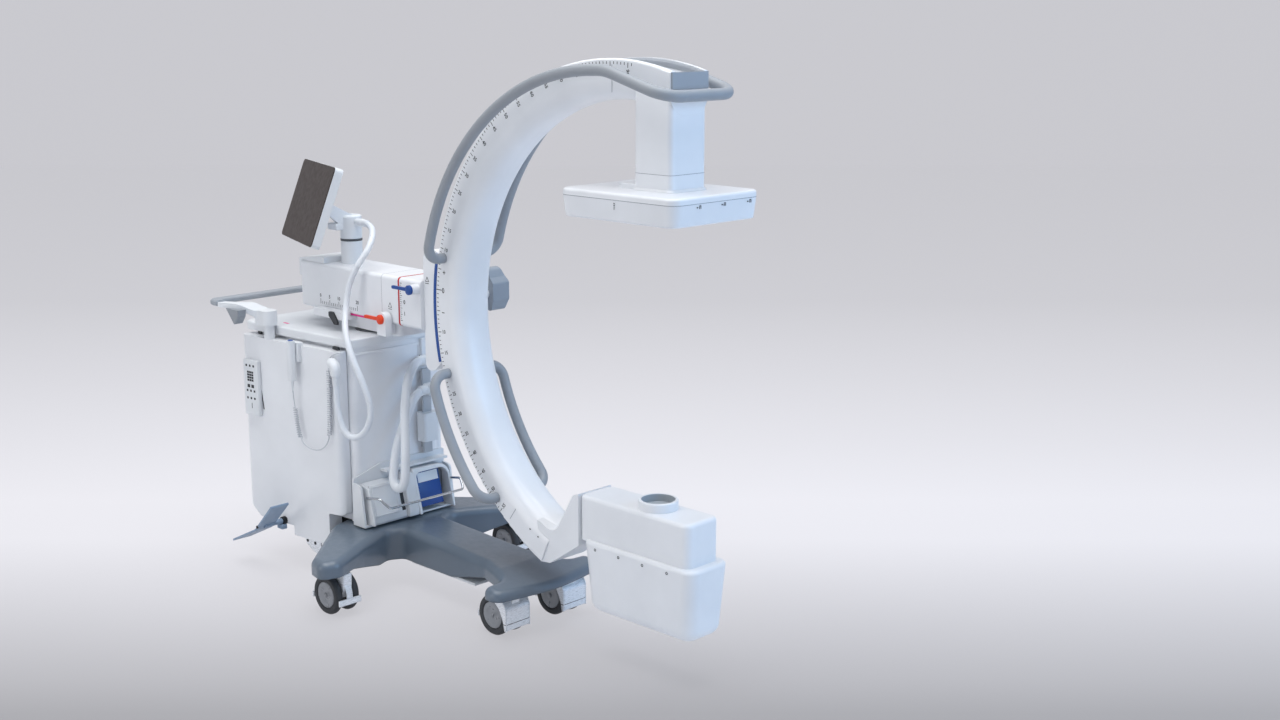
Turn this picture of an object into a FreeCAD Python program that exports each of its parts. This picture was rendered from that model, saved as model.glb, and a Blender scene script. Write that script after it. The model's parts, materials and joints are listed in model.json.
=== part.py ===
"""Mobile C-arm stand: wheeled cart, lift column, horizontal boom, rotating carriage and C-shaped arc.

Millimetres, +Z up, +X towards the free side of the C, +Y to the machine's left.
The model is drawn with X = 0 on the X-ray beam and is moved at export, so that the
origin lies on the floor under the middle of the whole machine.
"""

import FreeCAD, Part
import math
import os

V = FreeCAD.Vector
X_AXIS, Y_AXIS, Z_AXIS = V(1, 0, 0), V(0, 1, 0), V(0, 0, 1)
DEG = math.pi / 180

# Clearances
RUN = 0.5            # between pieces that move on each other
SEAT = 0.3           # between a piece and the neighbour that carries it across a joint
CLEAR = 6.0          # around pieces that pass each other

# C-arc
ISO_Z = 935.0        # height of the arc's centre and of the boom's axis
ARC_R = 760.0        # outer radius
ARC_BACK_X = -863.0  # rearmost point of the outer face
ARC_CX = ARC_BACK_X + ARC_R
BEAM_AHEAD = 103.0   # from the arc's centre to the X-ray beam
BEAM_X = ARC_CX + BEAM_AHEAD
ARC_DEPTH = 108.0    # radial depth of the section
ARC_HALF_W = 72.0
ARC_TOP_DEG = 74.0   # end of the arc under the grey cap
ARC_LOW_DEG = 246.6  # end of the arc at the tube arm
ARC_FLAT = 52.0      # depth of the flat side, from the outer face
ARC_EDGE_R = 6.0
CROWN = 1.2          # bulge of the inner side
NECK_HALF, NECK_DEPTH = 56.0, 9.0
HEAD_HALF, HEAD_DEPTH = 62.0, 13.0
CAP_LEN = 46.0

# Grab rails round the arc
RAIL_R = ARC_R - 29.0
RAIL_Y = 136.0
RAIL_TUBE_R = 15.5
RAIL_BEND = 46.0
RAIL_FRONT_X = BEAM_X + 150.0
RAIL_FRONT_Z = ISO_Z + ARC_R - 89.0
RAIL_SPANS = {"upper": (164.0, 92.0), "lower": (224.0, 199.0)}

# Detector and its column
DET_LEN, DET_WID = 422.0, 338.0
DET_Z0, DET_SEAM_Z, DET_Z1 = ISO_Z + 347.0, ISO_Z + 405.0, ISO_Z + 423.0
DET_CORNER = 34.0
DET_TAPER = 7.0
COL_X0, COL_X1, COL_HALF_W = BEAM_X - 29.0, BEAM_X + 106.0, 69.0
COL_CORNER = 16.0
TAB_LEN, TAB_H = 66.0, 13.0
PLINTH_OUT, PLINTH_H = 6.0, 6.0

# X-ray tank and its arm
TANK_TOP = ISO_Z - 459.0
TANK_SHOULDER = TANK_TOP - 124.0
TANK_BOTTOM = TANK_SHOULDER - 213.0
TANK_UP = {"x0": BEAM_X - 251.0, "x1": BEAM_X + 169.0, "half": 65.0, "corner": 24.0}
TANK_LOW = {"x0": BEAM_X - 226.0, "x1": BEAM_X + 197.0, "half": 81.0, "corner": 34.0}
TANK_DRAFT = 13.0
TANK_BOTTOM_R = 38.0
TANK_LOW_CORNER = 46.0
COLLAR_R, COLLAR_BORE, COLLAR_H, COLLAR_DEEP = 56.0, 48.0, 26.0, 22.0
ARM_HALF_W = 66.0

# Boom, column and what turns on them
SLEEVE_X1 = ARC_BACK_X - 62.0
SLEEVE_LEN, BOOM_LEN = 113.0, 517.0
BOOM_X1 = SLEEVE_X1 - SLEEVE_LEN
BOOM_X0 = BOOM_X1 - BOOM_LEN
BOOM_HALF_W = 80.0
BOOM_Z0, BOOM_Z1 = ISO_Z - 78.0, ISO_Z + 75.0
BOOM_EDGE = 12.0
COWL_X1 = BOOM_X0 + 125.0
BRAKE_X = BOOM_X1 - 53.0
COLUMN_X = BOOM_X1 - 222.0
SHELF_X0, SHELF_X1, SHELF_Z1 = COLUMN_X - 187.0, COLUMN_X - 21.0, BOOM_Z0 + 13.0
SPIGOT_R, SPIGOT_LEN = 48.0, 120.0
COLUMN_R = 56.0
COLUMN_DEEP = 560.0
WELL_Z0 = 240.0
RING_R = 68.0
BLOCK_X0, BLOCK_X1 = COLUMN_X - 85.0, COLUMN_X + 200.0
BLOCK_HALF_W = 62.0
STEM_X = BOOM_X0 + 175.0
STEM_R = 35.0
STEM_SEAM_Z = BOOM_Z1 + 82.0
STEM_TOP_Z = STEM_SEAM_Z + 76.0
STEM_PIVOT_R, STEM_PIVOT_LEN = 12.0, 30.0
CARRIAGE_DEG = 12.6
CARRIAGE_HALF_W = 66.0
LEVER_Y = 108.0      # outer end of the lever bosses
LEVER_HUB_R, LEVER_T = 15.0, 7.0
SLIDE_LEVER_Z = BOOM_Z0 + 17.0
TURN_LEVER_X, TURN_LEVER_Z = SLEEVE_X1 - 16.0, ISO_Z + 50.0
GRIP_X, GRIP_Y, GRIP_Z = SLEEVE_X1 - 23.0, BOOM_HALF_W + 155.0, ISO_Z
GRIP_HALF = 34.0

# Monitor
MON_W, MON_H, MON_T = 352.0, 262.0, 30.0
MON_X, MON_Y, MON_Z = STEM_X - 38.0, -122.0, STEM_TOP_Z + 44.0
MON_YAW, MON_TILT = -19.0, 20.0
KNUCKLE_BACK = 22.0
KNUCKLE_R, KNUCKLE_HALF, HINGE_PIN_R = 13.0, 16.0, 5.0

# Cart
DECK_Z1, DECK_T = 808.0, 28.0
DECK_Z0 = DECK_Z1 - DECK_T
DECK_LEN = 538.0
DECK_FRONT_X = COLUMN_X + 100.0
DECK_REAR_X = DECK_FRONT_X - DECK_LEN
DECK_FRONT_HALF, DECK_REAR_HALF = 178.0, 222.0
BASE_TOP = 200.0
BODY_FRONT_X, BODY_REAR_X = DECK_FRONT_X - 6.0, DECK_REAR_X + 26.0
BODY_FRONT_HALF = DECK_FRONT_HALF - 10.0
BODY_NOTCH_X = BODY_FRONT_X - 40.0
BODY_NOTCH_HALF = BODY_FRONT_HALF - 8.0
BODY_REAR_HALF = DECK_REAR_HALF - 26.0
BODY_Z0 = BASE_TOP + CLEAR
PANEL_FRONT_X, PANEL_REAR_X = DECK_FRONT_X - 34.0, DECK_REAR_X + 18.0
PANEL_FRONT_Y, PANEL_REAR_Y = DECK_FRONT_HALF + 30.0, DECK_REAR_HALF + 30.0
PANEL_Z0, PANEL_Z1 = 150.0, DECK_Z0 - 12.0
PANEL_SKIRT_Z = 118.0
SKIRT_X0, SKIRT_X1 = PANEL_FRONT_X - 246.0, PANEL_FRONT_X - 68.0
CHASSIS_X0, CHASSIS_X1 = BODY_REAR_X + 32.0, BODY_FRONT_X - 48.0
CHASSIS_Z0, CHASSIS_HALF = 140.0, 150.0
CHASSIS_REAR_HALF = CHASSIS_HALF + 26.0

# Base casting
BASE_REAR_X = CHASSIS_X1 - 42.0
BASE_FRONT_TOP = BASE_TOP - 42.0
BASE_RIM_R = 24.0    # round of the casting's upper edge
BASE_HUB_Z0, BASE_ARM_Z0 = 96.0, 139.0

# Casters
WHEEL_R = 62.5
WHEEL_W = 25.0
WHEEL_HALF_TRACK = 30.0
AXLE_R = 6.0
TRAIL = 32.0
STEM_PIN_R = 11.0
STEM_PIN_LEN = 26.0
FORK_TOP_GAP = 4.0
CASTERS = [
    # name, swivel axis x, y, cover style
    ("rear_right", BASE_REAR_X + 264.0, -362.0, "hoop"),
    ("rear_left", BASE_REAR_X + 264.0, 362.0, "hoop"),
    ("front_right", BASE_REAR_X + 759.0, -116.0, "hood"),
    ("front_left", BASE_REAR_X + 759.0, 116.0, "hood"),
]
STEER_X, STEER_Y = BASE_REAR_X - 74.0, CHASSIS_HALF - 40.0
STEER_WHEEL_W = 34.0

# Push handle
HANDLE_X, HANDLE_Z, HANDLE_R = DECK_REAR_X - 18.0, DECK_Z1 + 72.0, 17.0
HANDLE_HALF, HANDLE_T, HANDLE_BEND = 318.0, 20.0, 44.0
POST_X, POST_Y, POST_R = DECK_REAR_X + 166.0, DECK_REAR_HALF + 7.0, 17.5
POST_HEAD_R, POST_HEAD_Z0, POST_HEAD_Z1 = 26.0, DECK_Z1 + CLEAR, HANDLE_Z - 18.0

# Foot switch holder
TRAY_BACK_X, TRAY_FRONT_X = BODY_FRONT_X + SEAT, BODY_FRONT_X + 62.0
TRAY_Y0, TRAY_Y1 = -188.0, 180.0
TRAY_Z0 = BODY_Z0
TRAY_Z1 = TRAY_Z0 + 185.0
TRAY_WALL = 7.5
SWITCH_FRONT_X, SWITCH_Y0, SWITCH_Y1 = TRAY_FRONT_X + 8.0, TRAY_Y0 + 20.0, TRAY_Y1 - 20.0

RAIL_X0, RAIL_X1 = BODY_FRONT_X + 16.0, BODY_FRONT_X + 26.0

# Cords
CABLE_R = 10.0
HOSE_R = 14.5
THIN_R = 3.5
CURLY_R = 7.0
CABLE_SPLIT_Z = 1028.0

ORIGIN_X = (HANDLE_X - HANDLE_R + BEAM_X + DET_LEN / 2) / 2
RADII = []


def polar(r, deg, y=0.0):
    """Point of the C's plane at radius r and angle deg from +X, about the arc's centre."""
    return V(ARC_CX + r * math.cos(deg * DEG), y, ISO_Z + r * math.sin(deg * DEG))


def corner_arc(before, at, after, radius):
    """Tangent arc that rounds the corner at, as (start, middle, end)."""
    a, b = (before - at), (after - at)
    a.normalize()
    b.normalize()
    half = math.acos(max(-1, min(1, a.dot(b)))) / 2
    cut = radius / math.tan(half)
    bis = a + b
    bis.normalize()
    centre = at + bis * (radius / math.sin(half))
    return at + a * cut, centre - bis * radius, at + b * cut


def rounded_edges(points, radii, closed):
    """Straight runs joined by tangent arcs through 3-D points."""
    n = len(points)
    corners = []
    for i, p in enumerate(points):
        inner = closed or 0 < i < n - 1
        if inner and radii[i] > 0:
            corners.append(corner_arc(points[i - 1], p, points[(i + 1) % n], radii[i]))
        else:
            corners.append((p, None, p))
    edges = []
    for i in range(n if closed else n - 1):
        start, stop = corners[i][2], corners[(i + 1) % n][0]
        if corners[i][1] is not None and (closed or i > 0):
            edges.append(Part.Arc(*corners[i]).toShape())
        if (stop - start).Length > 1e-6:
            edges.append(Part.LineSegment(start, stop).toShape())
    return edges


PLANES = {
    "xy": (lambda u, v, w: V(u, v, w), Z_AXIS),
    "xz": (lambda u, v, w: V(u, w, v), Y_AXIS),
    "yz": (lambda u, v, w: V(w, u, v), X_AXIS),
}


def outline(plane, points, w):
    """Closed face of the outline [(u, v, corner radius), ...] in a plane at height w."""
    to_3d = PLANES[plane][0]
    pts = [to_3d(u, v, w) for u, v, r in points]
    edges = rounded_edges(pts, [r for u, v, r in points], True)
    return Part.Face(Part.Wire(edges))


def prism(plane, points, w0, w1):
    """Solid between w0 and w1 with the given outline."""
    return outline(plane, points, w0).extrude(PLANES[plane][1] * (w1 - w0))


def rect(u0, u1, v0, v1, r=0.0):
    return [(u0, v0, r), (u1, v0, r), (u1, v1, r), (u0, v1, r)]


def rod(start, end, r):
    axis = end - start
    return Part.makeCylinder(r, axis.Length, start, axis)


def mirrored(shape):
    return shape.mirror(V(0, 0, 0), Y_AXIS)


def both_sides(shape):
    return [shape, mirrored(shape)]


def flat_edges(shape, z):
    """Edges that lie wholly at height z."""
    box = [(e, e.BoundBox) for e in shape.Edges]
    return [e for e, b in box if abs(b.ZMin - z) < 0.01 and abs(b.ZMax - z) < 0.01]


def swept(edges, r):
    """Round tube of radius r along joined edges."""
    wire = Part.Wire(edges)
    first = wire.OrderedEdges[0]
    at = first.valueAt(first.FirstParameter)
    way = first.tangentAt(first.FirstParameter)
    if first.Orientation == "Reversed":
        at = first.valueAt(first.LastParameter)
        way = first.tangentAt(first.LastParameter) * -1
    ring = Part.Wire([Part.makeCircle(r, at, way)])
    return wire.makePipeShell([ring], True, False)


def cord(name, points, r):
    """Tube of a cord through the points of its route, every bend as wide as its runs allow."""
    pts = [V(*p) for p in points]
    radii = [0.0]
    for a, b, c in zip(pts, pts[1:], pts[2:]):
        turn = (b - a).getAngle(c - b)
        radii.append(0.45 * min((b - a).Length, (c - b).Length) / math.tan(turn / 2))
    radii.append(0.0)
    edges = rounded_edges(pts, radii, False)
    tube = swept(edges, r)
    length = sum(e.Length for e in edges)
    RADII.append((name, round(min(radii[1:-1]), 1), round(length)))
    return tube


# The C


def arc_section(r_out, r_in, half, flat, edge):
    """Section of the arc at angle 0: flat outer side, rounded inner side."""
    crown = r_in + (r_out - flat - r_in) * 0.30
    y_crown = half * 0.62
    pts = [V(ARC_CX + r_out, -half, ISO_Z), V(ARC_CX + r_out, half, ISO_Z),
           V(ARC_CX + r_out - flat, half, ISO_Z)]
    top = rounded_edges([V(ARC_CX + r_out - flat, -half, ISO_Z), pts[0], pts[1], pts[2]],
                        [0, edge, edge, 0], False)
    inner_ends = [V(ARC_CX + r_in, side * y_crown * 0.45, ISO_Z) for side in (1, -1)]
    inner = Part.Arc(inner_ends[0], V(ARC_CX + r_in - CROWN, 0, ISO_Z), inner_ends[1]).toShape()
    left = Part.Arc(pts[2], V(ARC_CX + crown, half * 0.80, ISO_Z), inner_ends[0]).toShape()
    right = Part.Arc(inner_ends[1], V(ARC_CX + crown, -half * 0.80, ISO_Z),
                     V(ARC_CX + r_out - flat, -half, ISO_Z)).toShape()
    return Part.Face(Part.Wire(top + [left, inner, right]))


def groove_section(play, r_out):
    """T-shaped running groove in the outer face; play > 0 makes the tongue that runs in it."""
    neck, head = NECK_HALF - play, HEAD_HALF - play
    r1, r2 = ARC_R - NECK_DEPTH - play, ARC_R - NECK_DEPTH - HEAD_DEPTH + play
    half = [(r_out, neck), (r1, neck), (r1, head), (r2, head)]
    pts = [(r, -y) for r, y in reversed(half)] + half
    return outline("xy", [(ARC_CX + r, y, 0) for r, y in pts], ISO_Z)


def ring_sweep(face, deg0, deg1):
    """Turn a section drawn at angle 0 about the arc's axis from deg0 to deg1."""
    centre = V(ARC_CX, 0, ISO_Z)
    body = face.revolve(centre, Y_AXIS * -1, deg1 - deg0)
    return body.rotate(centre, Y_AXIS * -1, deg0)


def arc_blank(deg0, deg1):
    section = arc_section(ARC_R, ARC_R - ARC_DEPTH, ARC_HALF_W, ARC_FLAT, ARC_EDGE_R)
    return ring_sweep(section, deg0, deg1)


def end_slab(x0, x1):
    return Part.makeBox(x1 - x0, 400, 400, V(x0, -200, ISO_Z + ARC_R - 300))


def c_arc():
    """Rolled arc with its running groove, cut off upright above the column's front face."""
    blank = arc_blank(ARC_TOP_DEG - 3, ARC_LOW_DEG)
    groove = ring_sweep(groove_section(0.0, ARC_R + 5), ARC_TOP_DEG - 4, ARC_LOW_DEG + 1)
    body = blank.cut(groove)
    return body.cut(end_slab(COL_X1, COL_X1 + 300))


def arc_end_cap():
    """Grey buffer that closes the upper end of the arc."""
    top = ISO_Z + math.sqrt(ARC_R ** 2 - (COL_X1 - ARC_CX) ** 2)
    plan = [(COL_X1, -ARC_HALF_W + 2, 0), (COL_X1 + 5, -ARC_HALF_W + 2, 4),
            (COL_X1 + 5, ARC_HALF_W - 2, 4), (COL_X1, ARC_HALF_W - 2, 0)]
    return prism("xy", plan, top - CAP_LEN, top - 2)


def rail_stub(deg, heading, side):
    """Foot of a grab rail: out of the arc's side, then round onto the rail's circle."""
    at = polar(RAIL_R, deg, side * RAIL_Y)
    along = V(-math.sin(deg * DEG), 0, math.cos(deg * DEG)) * heading
    back = V(0, -side, 0)
    centre = at + back * RAIL_BEND
    foot = centre - along * RAIL_BEND
    mid = centre - (back + along) * (RAIL_BEND / math.sqrt(2))
    base = V(foot.x, side * ARC_HALF_W, foot.z)
    return [Part.LineSegment(base, foot).toShape(), Part.Arc(foot, mid, at).toShape()]


def rail_run(deg0, deg1, side):
    mid = polar(RAIL_R, (deg0 + deg1) / 2, side * RAIL_Y)
    return Part.Arc(polar(RAIL_R, deg0, side * RAIL_Y), mid, polar(RAIL_R, deg1, side * RAIL_Y)).toShape()


def grab_rails():
    """Upper rail runs up both sides and round the end of the arc; a short one on each side below."""
    start, stop = RAIL_SPANS["upper"]
    at = polar(RAIL_R, stop, -RAIL_Y)
    ahead = V(math.sin(stop * DEG), 0, -math.cos(stop * DEG))
    knee = at + ahead * 62.0
    nose = V(RAIL_FRONT_X, -RAIL_Y, RAIL_FRONT_Z)
    pts = [at, knee, nose]
    pts += [V(p.x, -p.y, p.z) for p in reversed(pts)]
    nose_path = rounded_edges(pts, [0, 170.0, 60.0, 60.0, 170.0, 0], False)
    upper = rail_stub(start, -1, -1) + [rail_run(start, stop, -1)] + nose_path
    upper += [rail_run(stop, start, 1)] + rail_stub(start, -1, 1)[::-1]
    solids = [swept(upper, RAIL_TUBE_R)]
    start, stop = RAIL_SPANS["lower"]
    lower = rail_stub(start, -1, -1) + [rail_run(start, stop, -1)] + rail_stub(stop, 1, -1)[::-1]
    return solids + both_sides(swept(lower, RAIL_TUBE_R))


def detector_column():
    """Upright between the arc and the detector, scribed to the arc, with its plinth and rear tab."""
    post = prism("xy", rect(COL_X0, COL_X1, -COL_HALF_W, COL_HALF_W, COL_CORNER), DET_Z1, ISO_Z + ARC_R)
    post = post.cut(arc_blank(ARC_TOP_DEG - 8, 110))
    keep = Part.makeCylinder(ARC_R - ARC_FLAT + 10, 400, V(ARC_CX, 200, ISO_Z), Y_AXIS * -1)
    post = max(post.common(keep).Solids, key=lambda s: s.Volume)
    out = PLINTH_OUT
    plinth = rect(COL_X0 - out, COL_X1 + out, -COL_HALF_W - out, COL_HALF_W + out, COL_CORNER + out)
    plinth = prism("xy", plinth, DET_Z1, DET_Z1 + PLINTH_H)
    plinth = plinth.makeChamfer(PLINTH_H - 1, flat_edges(plinth, DET_Z1 + PLINTH_H))
    tab = rect(COL_X0 - TAB_LEN, COL_X0 + 20, -COL_HALF_W + 6, COL_HALF_W - 6, 14)
    tab = prism("xy", tab, DET_Z1, DET_Z1 + TAB_H)
    tab = tab.makeFillet(4.0, flat_edges(tab, DET_Z1 + TAB_H))
    return post.fuse([plinth, tab]).removeSplitter()


def detector_housing():
    """Flat detector box: upright lid edge, then a slight taper to the underside."""
    half_l, half_w = DET_LEN / 2, DET_WID / 2
    top = rect(BEAM_X - half_l, BEAM_X + half_l, -half_w, half_w, DET_CORNER)
    lid = prism("xy", top, DET_SEAM_Z, DET_Z1)
    lid = lid.makeFillet(8.0, flat_edges(lid, DET_Z1))
    low = half_l - DET_TAPER, half_w - DET_TAPER
    under = rect(BEAM_X - low[0], BEAM_X + low[0], -low[1], low[1], DET_CORNER - DET_TAPER)
    wires = [outline("xy", top, DET_SEAM_Z).OuterWire, outline("xy", under, DET_Z0).OuterWire]
    tray = Part.makeLoft(wires, True, True)
    tray = tray.makeFillet(7.0, flat_edges(tray, DET_Z0))
    return tray.fuse(lid).removeSplitter()


def tank_part(size, z0, z1, draft):
    """One storey of the tank; it narrows by draft towards z0."""
    x0, x1, half, corner = size["x0"], size["x1"], size["half"], size["corner"]
    top = outline("xy", rect(x0, x1, -half, half, corner), z1).OuterWire
    inset = half - draft * 0.6
    low = outline("xy", rect(x0 + draft, x1 - draft, -inset, inset, TANK_LOW_CORNER), z0).OuterWire
    return Part.makeLoft([top, low], True, True)


def tube_tank():
    """X-ray tank: narrow upper storey, shoulder, wider lower storey and a round belly."""
    upper = rect(TANK_UP["x0"], TANK_UP["x1"], -TANK_UP["half"], TANK_UP["half"], TANK_UP["corner"])
    upper = prism("xy", upper, TANK_SHOULDER - 8, TANK_TOP)
    upper = upper.makeFillet(12.0, flat_edges(upper, TANK_TOP))
    lower = tank_part(TANK_LOW, TANK_BOTTOM, TANK_SHOULDER, TANK_DRAFT)
    lower = lower.makeFillet(TANK_BOTTOM_R, flat_edges(lower, TANK_BOTTOM))
    lower = lower.makeFillet(10.0, flat_edges(lower, TANK_SHOULDER))
    collar = Part.makeCylinder(COLLAR_R, COLLAR_H + 20, V(BEAM_X, 0, TANK_TOP - 20))
    collar = collar.makeFillet(4.0, flat_edges(collar, TANK_TOP + COLLAR_H))
    port = V(BEAM_X, 0, TANK_TOP + COLLAR_H - COLLAR_DEEP)
    port = Part.makeCylinder(COLLAR_BORE, COLLAR_DEEP + 40, port)
    return upper.fuse([lower, collar]).cut(port).removeSplitter()


def tube_arm():
    """Cranked arm from the arc's lower end to the back of the tank."""
    end = polar(ARC_R, ARC_LOW_DEG)
    inner = polar(ARC_R - ARC_DEPTH + 6, ARC_LOW_DEG)
    start_in = polar(ARC_R - ARC_DEPTH + 6, ARC_LOW_DEG - 6)
    x1 = TANK_UP["x0"]
    side = [(end.x, end.z, 0), (end.x + 34, end.z + 4, 18), (x1, TANK_SHOULDER - 30, 0),
            (x1, TANK_TOP - 1, 0), (x1 - 22, TANK_TOP - 8, 20), (inner.x + 12, inner.z + 2, 40),
            (start_in.x, start_in.z, 0)]
    arm = prism("xz", side, -ARM_HALF_W, ARM_HALF_W)
    arm = arm.cut(arc_blank(ARC_LOW_DEG - 30, ARC_LOW_DEG))
    return max(arm.Solids, key=lambda s: s.Volume)


# Boom and carriage


def boom_housing():
    """Boom box with the bore for the C's turning shaft and a seat for the monitor stem."""
    section = rect(-BOOM_HALF_W, BOOM_HALF_W, BOOM_Z0, BOOM_Z1, BOOM_EDGE)
    box = prism("yz", section, BOOM_X0, BOOM_X1)
    bore = rod(V(BOOM_X1 - SPIGOT_LEN - 4, 0, ISO_Z), V(BOOM_X1 + 5, 0, ISO_Z), SPIGOT_R + RUN)
    return box.cut(bore)


def boom_cowl():
    """Raised rear cowl of the boom: a cap over its end with a flat top that slopes to the back."""
    side = [(BOOM_X0 - 16, BOOM_Z1 - 52, 6), (BOOM_X0, BOOM_Z1 - 52, 0), (BOOM_X0, BOOM_Z1, 0),
            (COWL_X1, BOOM_Z1, 0), (COWL_X1, BOOM_Z1 + 22, 8), (BOOM_X0 - 16, BOOM_Z1 + 6, 8)]
    return prism("xz", side, -BOOM_HALF_W + 4, BOOM_HALF_W - 4)


def monitor_stem():
    stem = Part.makeCylinder(STEM_R, STEM_SEAM_Z - BOOM_Z1, V(STEM_X, 0, BOOM_Z1))
    pin = Part.makeCylinder(STEM_PIVOT_R, STEM_PIVOT_LEN, V(STEM_X, 0, STEM_SEAM_Z))
    return stem.fuse(pin).removeSplitter()


def swivel_block():
    """Block on top of the column that the boom slides on, with its lever boss and side shelf."""
    top = BOOM_Z0 - SEAT
    low = DECK_Z1 + 8
    body = prism("xy", rect(BLOCK_X0, BLOCK_X1, -BLOCK_HALF_W, BLOCK_HALF_W, 20), low, top)
    inner = -BOOM_HALF_W - 3
    foot = low + 6
    reach = prism("yz", rect(-LEVER_Y, -BLOCK_HALF_W + 24, foot, top, 3), BRAKE_X - 22, BLOCK_X1 - 22)
    boss = rod(V(BRAKE_X, inner, SLIDE_LEVER_Z), V(BRAKE_X, -LEVER_Y, SLIDE_LEVER_Z), LEVER_HUB_R + 7)
    cheek = prism("xz", rect(BRAKE_X - 22, BRAKE_X + 22, foot, SLIDE_LEVER_Z), -LEVER_Y, inner)
    shelf = prism("xy", rect(SHELF_X0, SHELF_X1, -LEVER_Y - 8, -BLOCK_HALF_W + 8, 6), top - 12, top)
    ledge = prism("xy", rect(SHELF_X0, SHELF_X1, -LEVER_Y - 8, inner, 6), top - 12, SHELF_Z1)
    neck = prism("xy", rect(BLOCK_X0 - 2, SHELF_X1, -BLOCK_HALF_W, 0), top - 12, top)
    return body.fuse([reach, boss, cheek, shelf, ledge, neck]).removeSplitter()


def brake_levers():
    """Lever of the swivel brake at the boss and the small dark one that hangs from the shelf."""
    y0, y1 = -LEVER_Y - LEVER_T, -LEVER_Y
    hub = rod(V(BRAKE_X, y1, SLIDE_LEVER_Z), V(BRAKE_X, y0, SLIDE_LEVER_Z), LEVER_HUB_R)
    bar = prism("xz", rect(BRAKE_X - 78, BRAKE_X - 4, SLIDE_LEVER_Z - 4, SLIDE_LEVER_Z + 6, 4), y0, y1)
    x, z = SHELF_X0 + 97, SHELF_Z1 - 2
    side = [(x, z, 3), (x, z - 14, 3), (x + 28, z - 40, 5), (x + 46, z - 40, 5), (x + 46, z - 30, 5),
            (x + 22, z, 3)]
    hanging = prism("xz", side, -LEVER_Y - 8 - LEVER_T, -LEVER_Y - 8)
    return [hub.fuse(bar).removeSplitter(), hanging]


def lift_column():
    low = DECK_Z1 + 8 - SEAT
    return Part.makeCylinder(COLUMN_R, COLUMN_DEEP, V(COLUMN_X, 0, low - COLUMN_DEEP))


def rotation_sleeve():
    """Head that turns on the boom's axis: box, shaft in the boom, lever boss and far-side arm."""
    section = rect(-BOOM_HALF_W, BOOM_HALF_W, BOOM_Z0, BOOM_Z1, BOOM_EDGE)
    box = prism("yz", section, BOOM_X1 + RUN, SLEEVE_X1)
    shaft = rod(V(BOOM_X1 - SPIGOT_LEN, 0, ISO_Z), V(BOOM_X1 + 10, 0, ISO_Z), SPIGOT_R)
    boss = rod(V(TURN_LEVER_X, -BOOM_HALF_W + 10, TURN_LEVER_Z), V(TURN_LEVER_X, -LEVER_Y, TURN_LEVER_Z),
               LEVER_HUB_R + 1)
    arm = rod(V(GRIP_X, BOOM_HALF_W - 10, ISO_Z), V(GRIP_X, GRIP_Y - GRIP_HALF, ISO_Z), 16.0)
    return box.fuse([shaft, boss, arm]).removeSplitter()


def carriage():
    """Block behind the arc with rounded ends, and the tongue that runs in the arc's groove."""
    r0 = ARC_R + RUN
    low, top = polar(r0, 180 + CARRIAGE_DEG), polar(r0, 180 - CARRIAGE_DEG)
    side = [(SLEEVE_X1, low.z - 40, 22), (low.x - 36, low.z - 32, 14), (low.x, low.z, 0),
            (low.x + 80, ISO_Z, 0), (top.x, top.z, 0), (top.x - 30, top.z + 12, 14),
            (SLEEVE_X1, top.z - 2, 30)]
    shoe = prism("xz", side, -CARRIAGE_HALF_W, CARRIAGE_HALF_W)
    shoe = shoe.cut(Part.makeCylinder(r0, 400, V(ARC_CX, 200, ISO_Z), Y_AXIS * -1))
    tongue = ring_sweep(groove_section(1.0, r0 + 2), 180 - CARRIAGE_DEG + 1, 180 + CARRIAGE_DEG - 1)
    return shoe.fuse(tongue).removeSplitter()


def c_levers():
    """Lever of the turning brake on the near side and the hand grip on the far side."""
    y0, y1 = -LEVER_Y - LEVER_T, -LEVER_Y
    hub = rod(V(TURN_LEVER_X, y1, TURN_LEVER_Z), V(TURN_LEVER_X, y0, TURN_LEVER_Z), LEVER_HUB_R)
    bar = rect(TURN_LEVER_X - 82, TURN_LEVER_X - 4, TURN_LEVER_Z - 4, TURN_LEVER_Z + 6, 4)
    bar = prism("xz", bar, y0, y1)
    return [hub.fuse(bar).removeSplitter(), hand_grip()]


def hand_grip():
    """Faceted grip with a domed top on the sleeve's far side."""
    h = GRIP_HALF
    side = [(GRIP_X - h, GRIP_Z - 44, 12), (GRIP_X + h - 10, GRIP_Z - 56, 10),
            (GRIP_X + h, GRIP_Z - 20, 14), (GRIP_X + h, GRIP_Z + 34, 12),
            (GRIP_X + h - 14, GRIP_Z + 52, 0), (GRIP_X + h - 26, GRIP_Z + 82, 20),
            (GRIP_X - h + 10, GRIP_Z + 82, 20), (GRIP_X - h, GRIP_Z + 40, 12)]
    body = prism("xz", side, GRIP_Y - h, GRIP_Y + h)
    front = [(GRIP_Y - h, GRIP_Z - 60, 0), (GRIP_Y + h - 14, GRIP_Z - 60, 10), (GRIP_Y + h, GRIP_Z - 20, 14),
             (GRIP_Y + h, GRIP_Z + 40, 14), (GRIP_Y + h - 20, GRIP_Z + 90, 20), (GRIP_Y - h, GRIP_Z + 90, 0)]
    return body.common(prism("yz", front, GRIP_X - 60, GRIP_X + 60))


# Cart


def well():
    """Shaft of the lift column inside the cart."""
    return Part.makeCylinder(COLUMN_R + CLEAR, 900, V(COLUMN_X, 0, WELL_Z0))


def panel_face(x):
    """Half width of the flared side panels' outer face at x."""
    slope = (PANEL_REAR_Y - PANEL_FRONT_Y) / (PANEL_FRONT_X - PANEL_REAR_X)
    return PANEL_FRONT_Y + (PANEL_FRONT_X - x) * slope


def cart_plan():
    half = [(BODY_FRONT_X, BODY_FRONT_HALF, 22), (BODY_NOTCH_X, BODY_FRONT_HALF, 8),
            (BODY_NOTCH_X, BODY_NOTCH_HALF, 0), (BODY_REAR_X, BODY_REAR_HALF, 18)]
    return [(x, -y, r) for x, y, r in half] + [(x, y, r) for x, y, r in reversed(half)]


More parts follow.
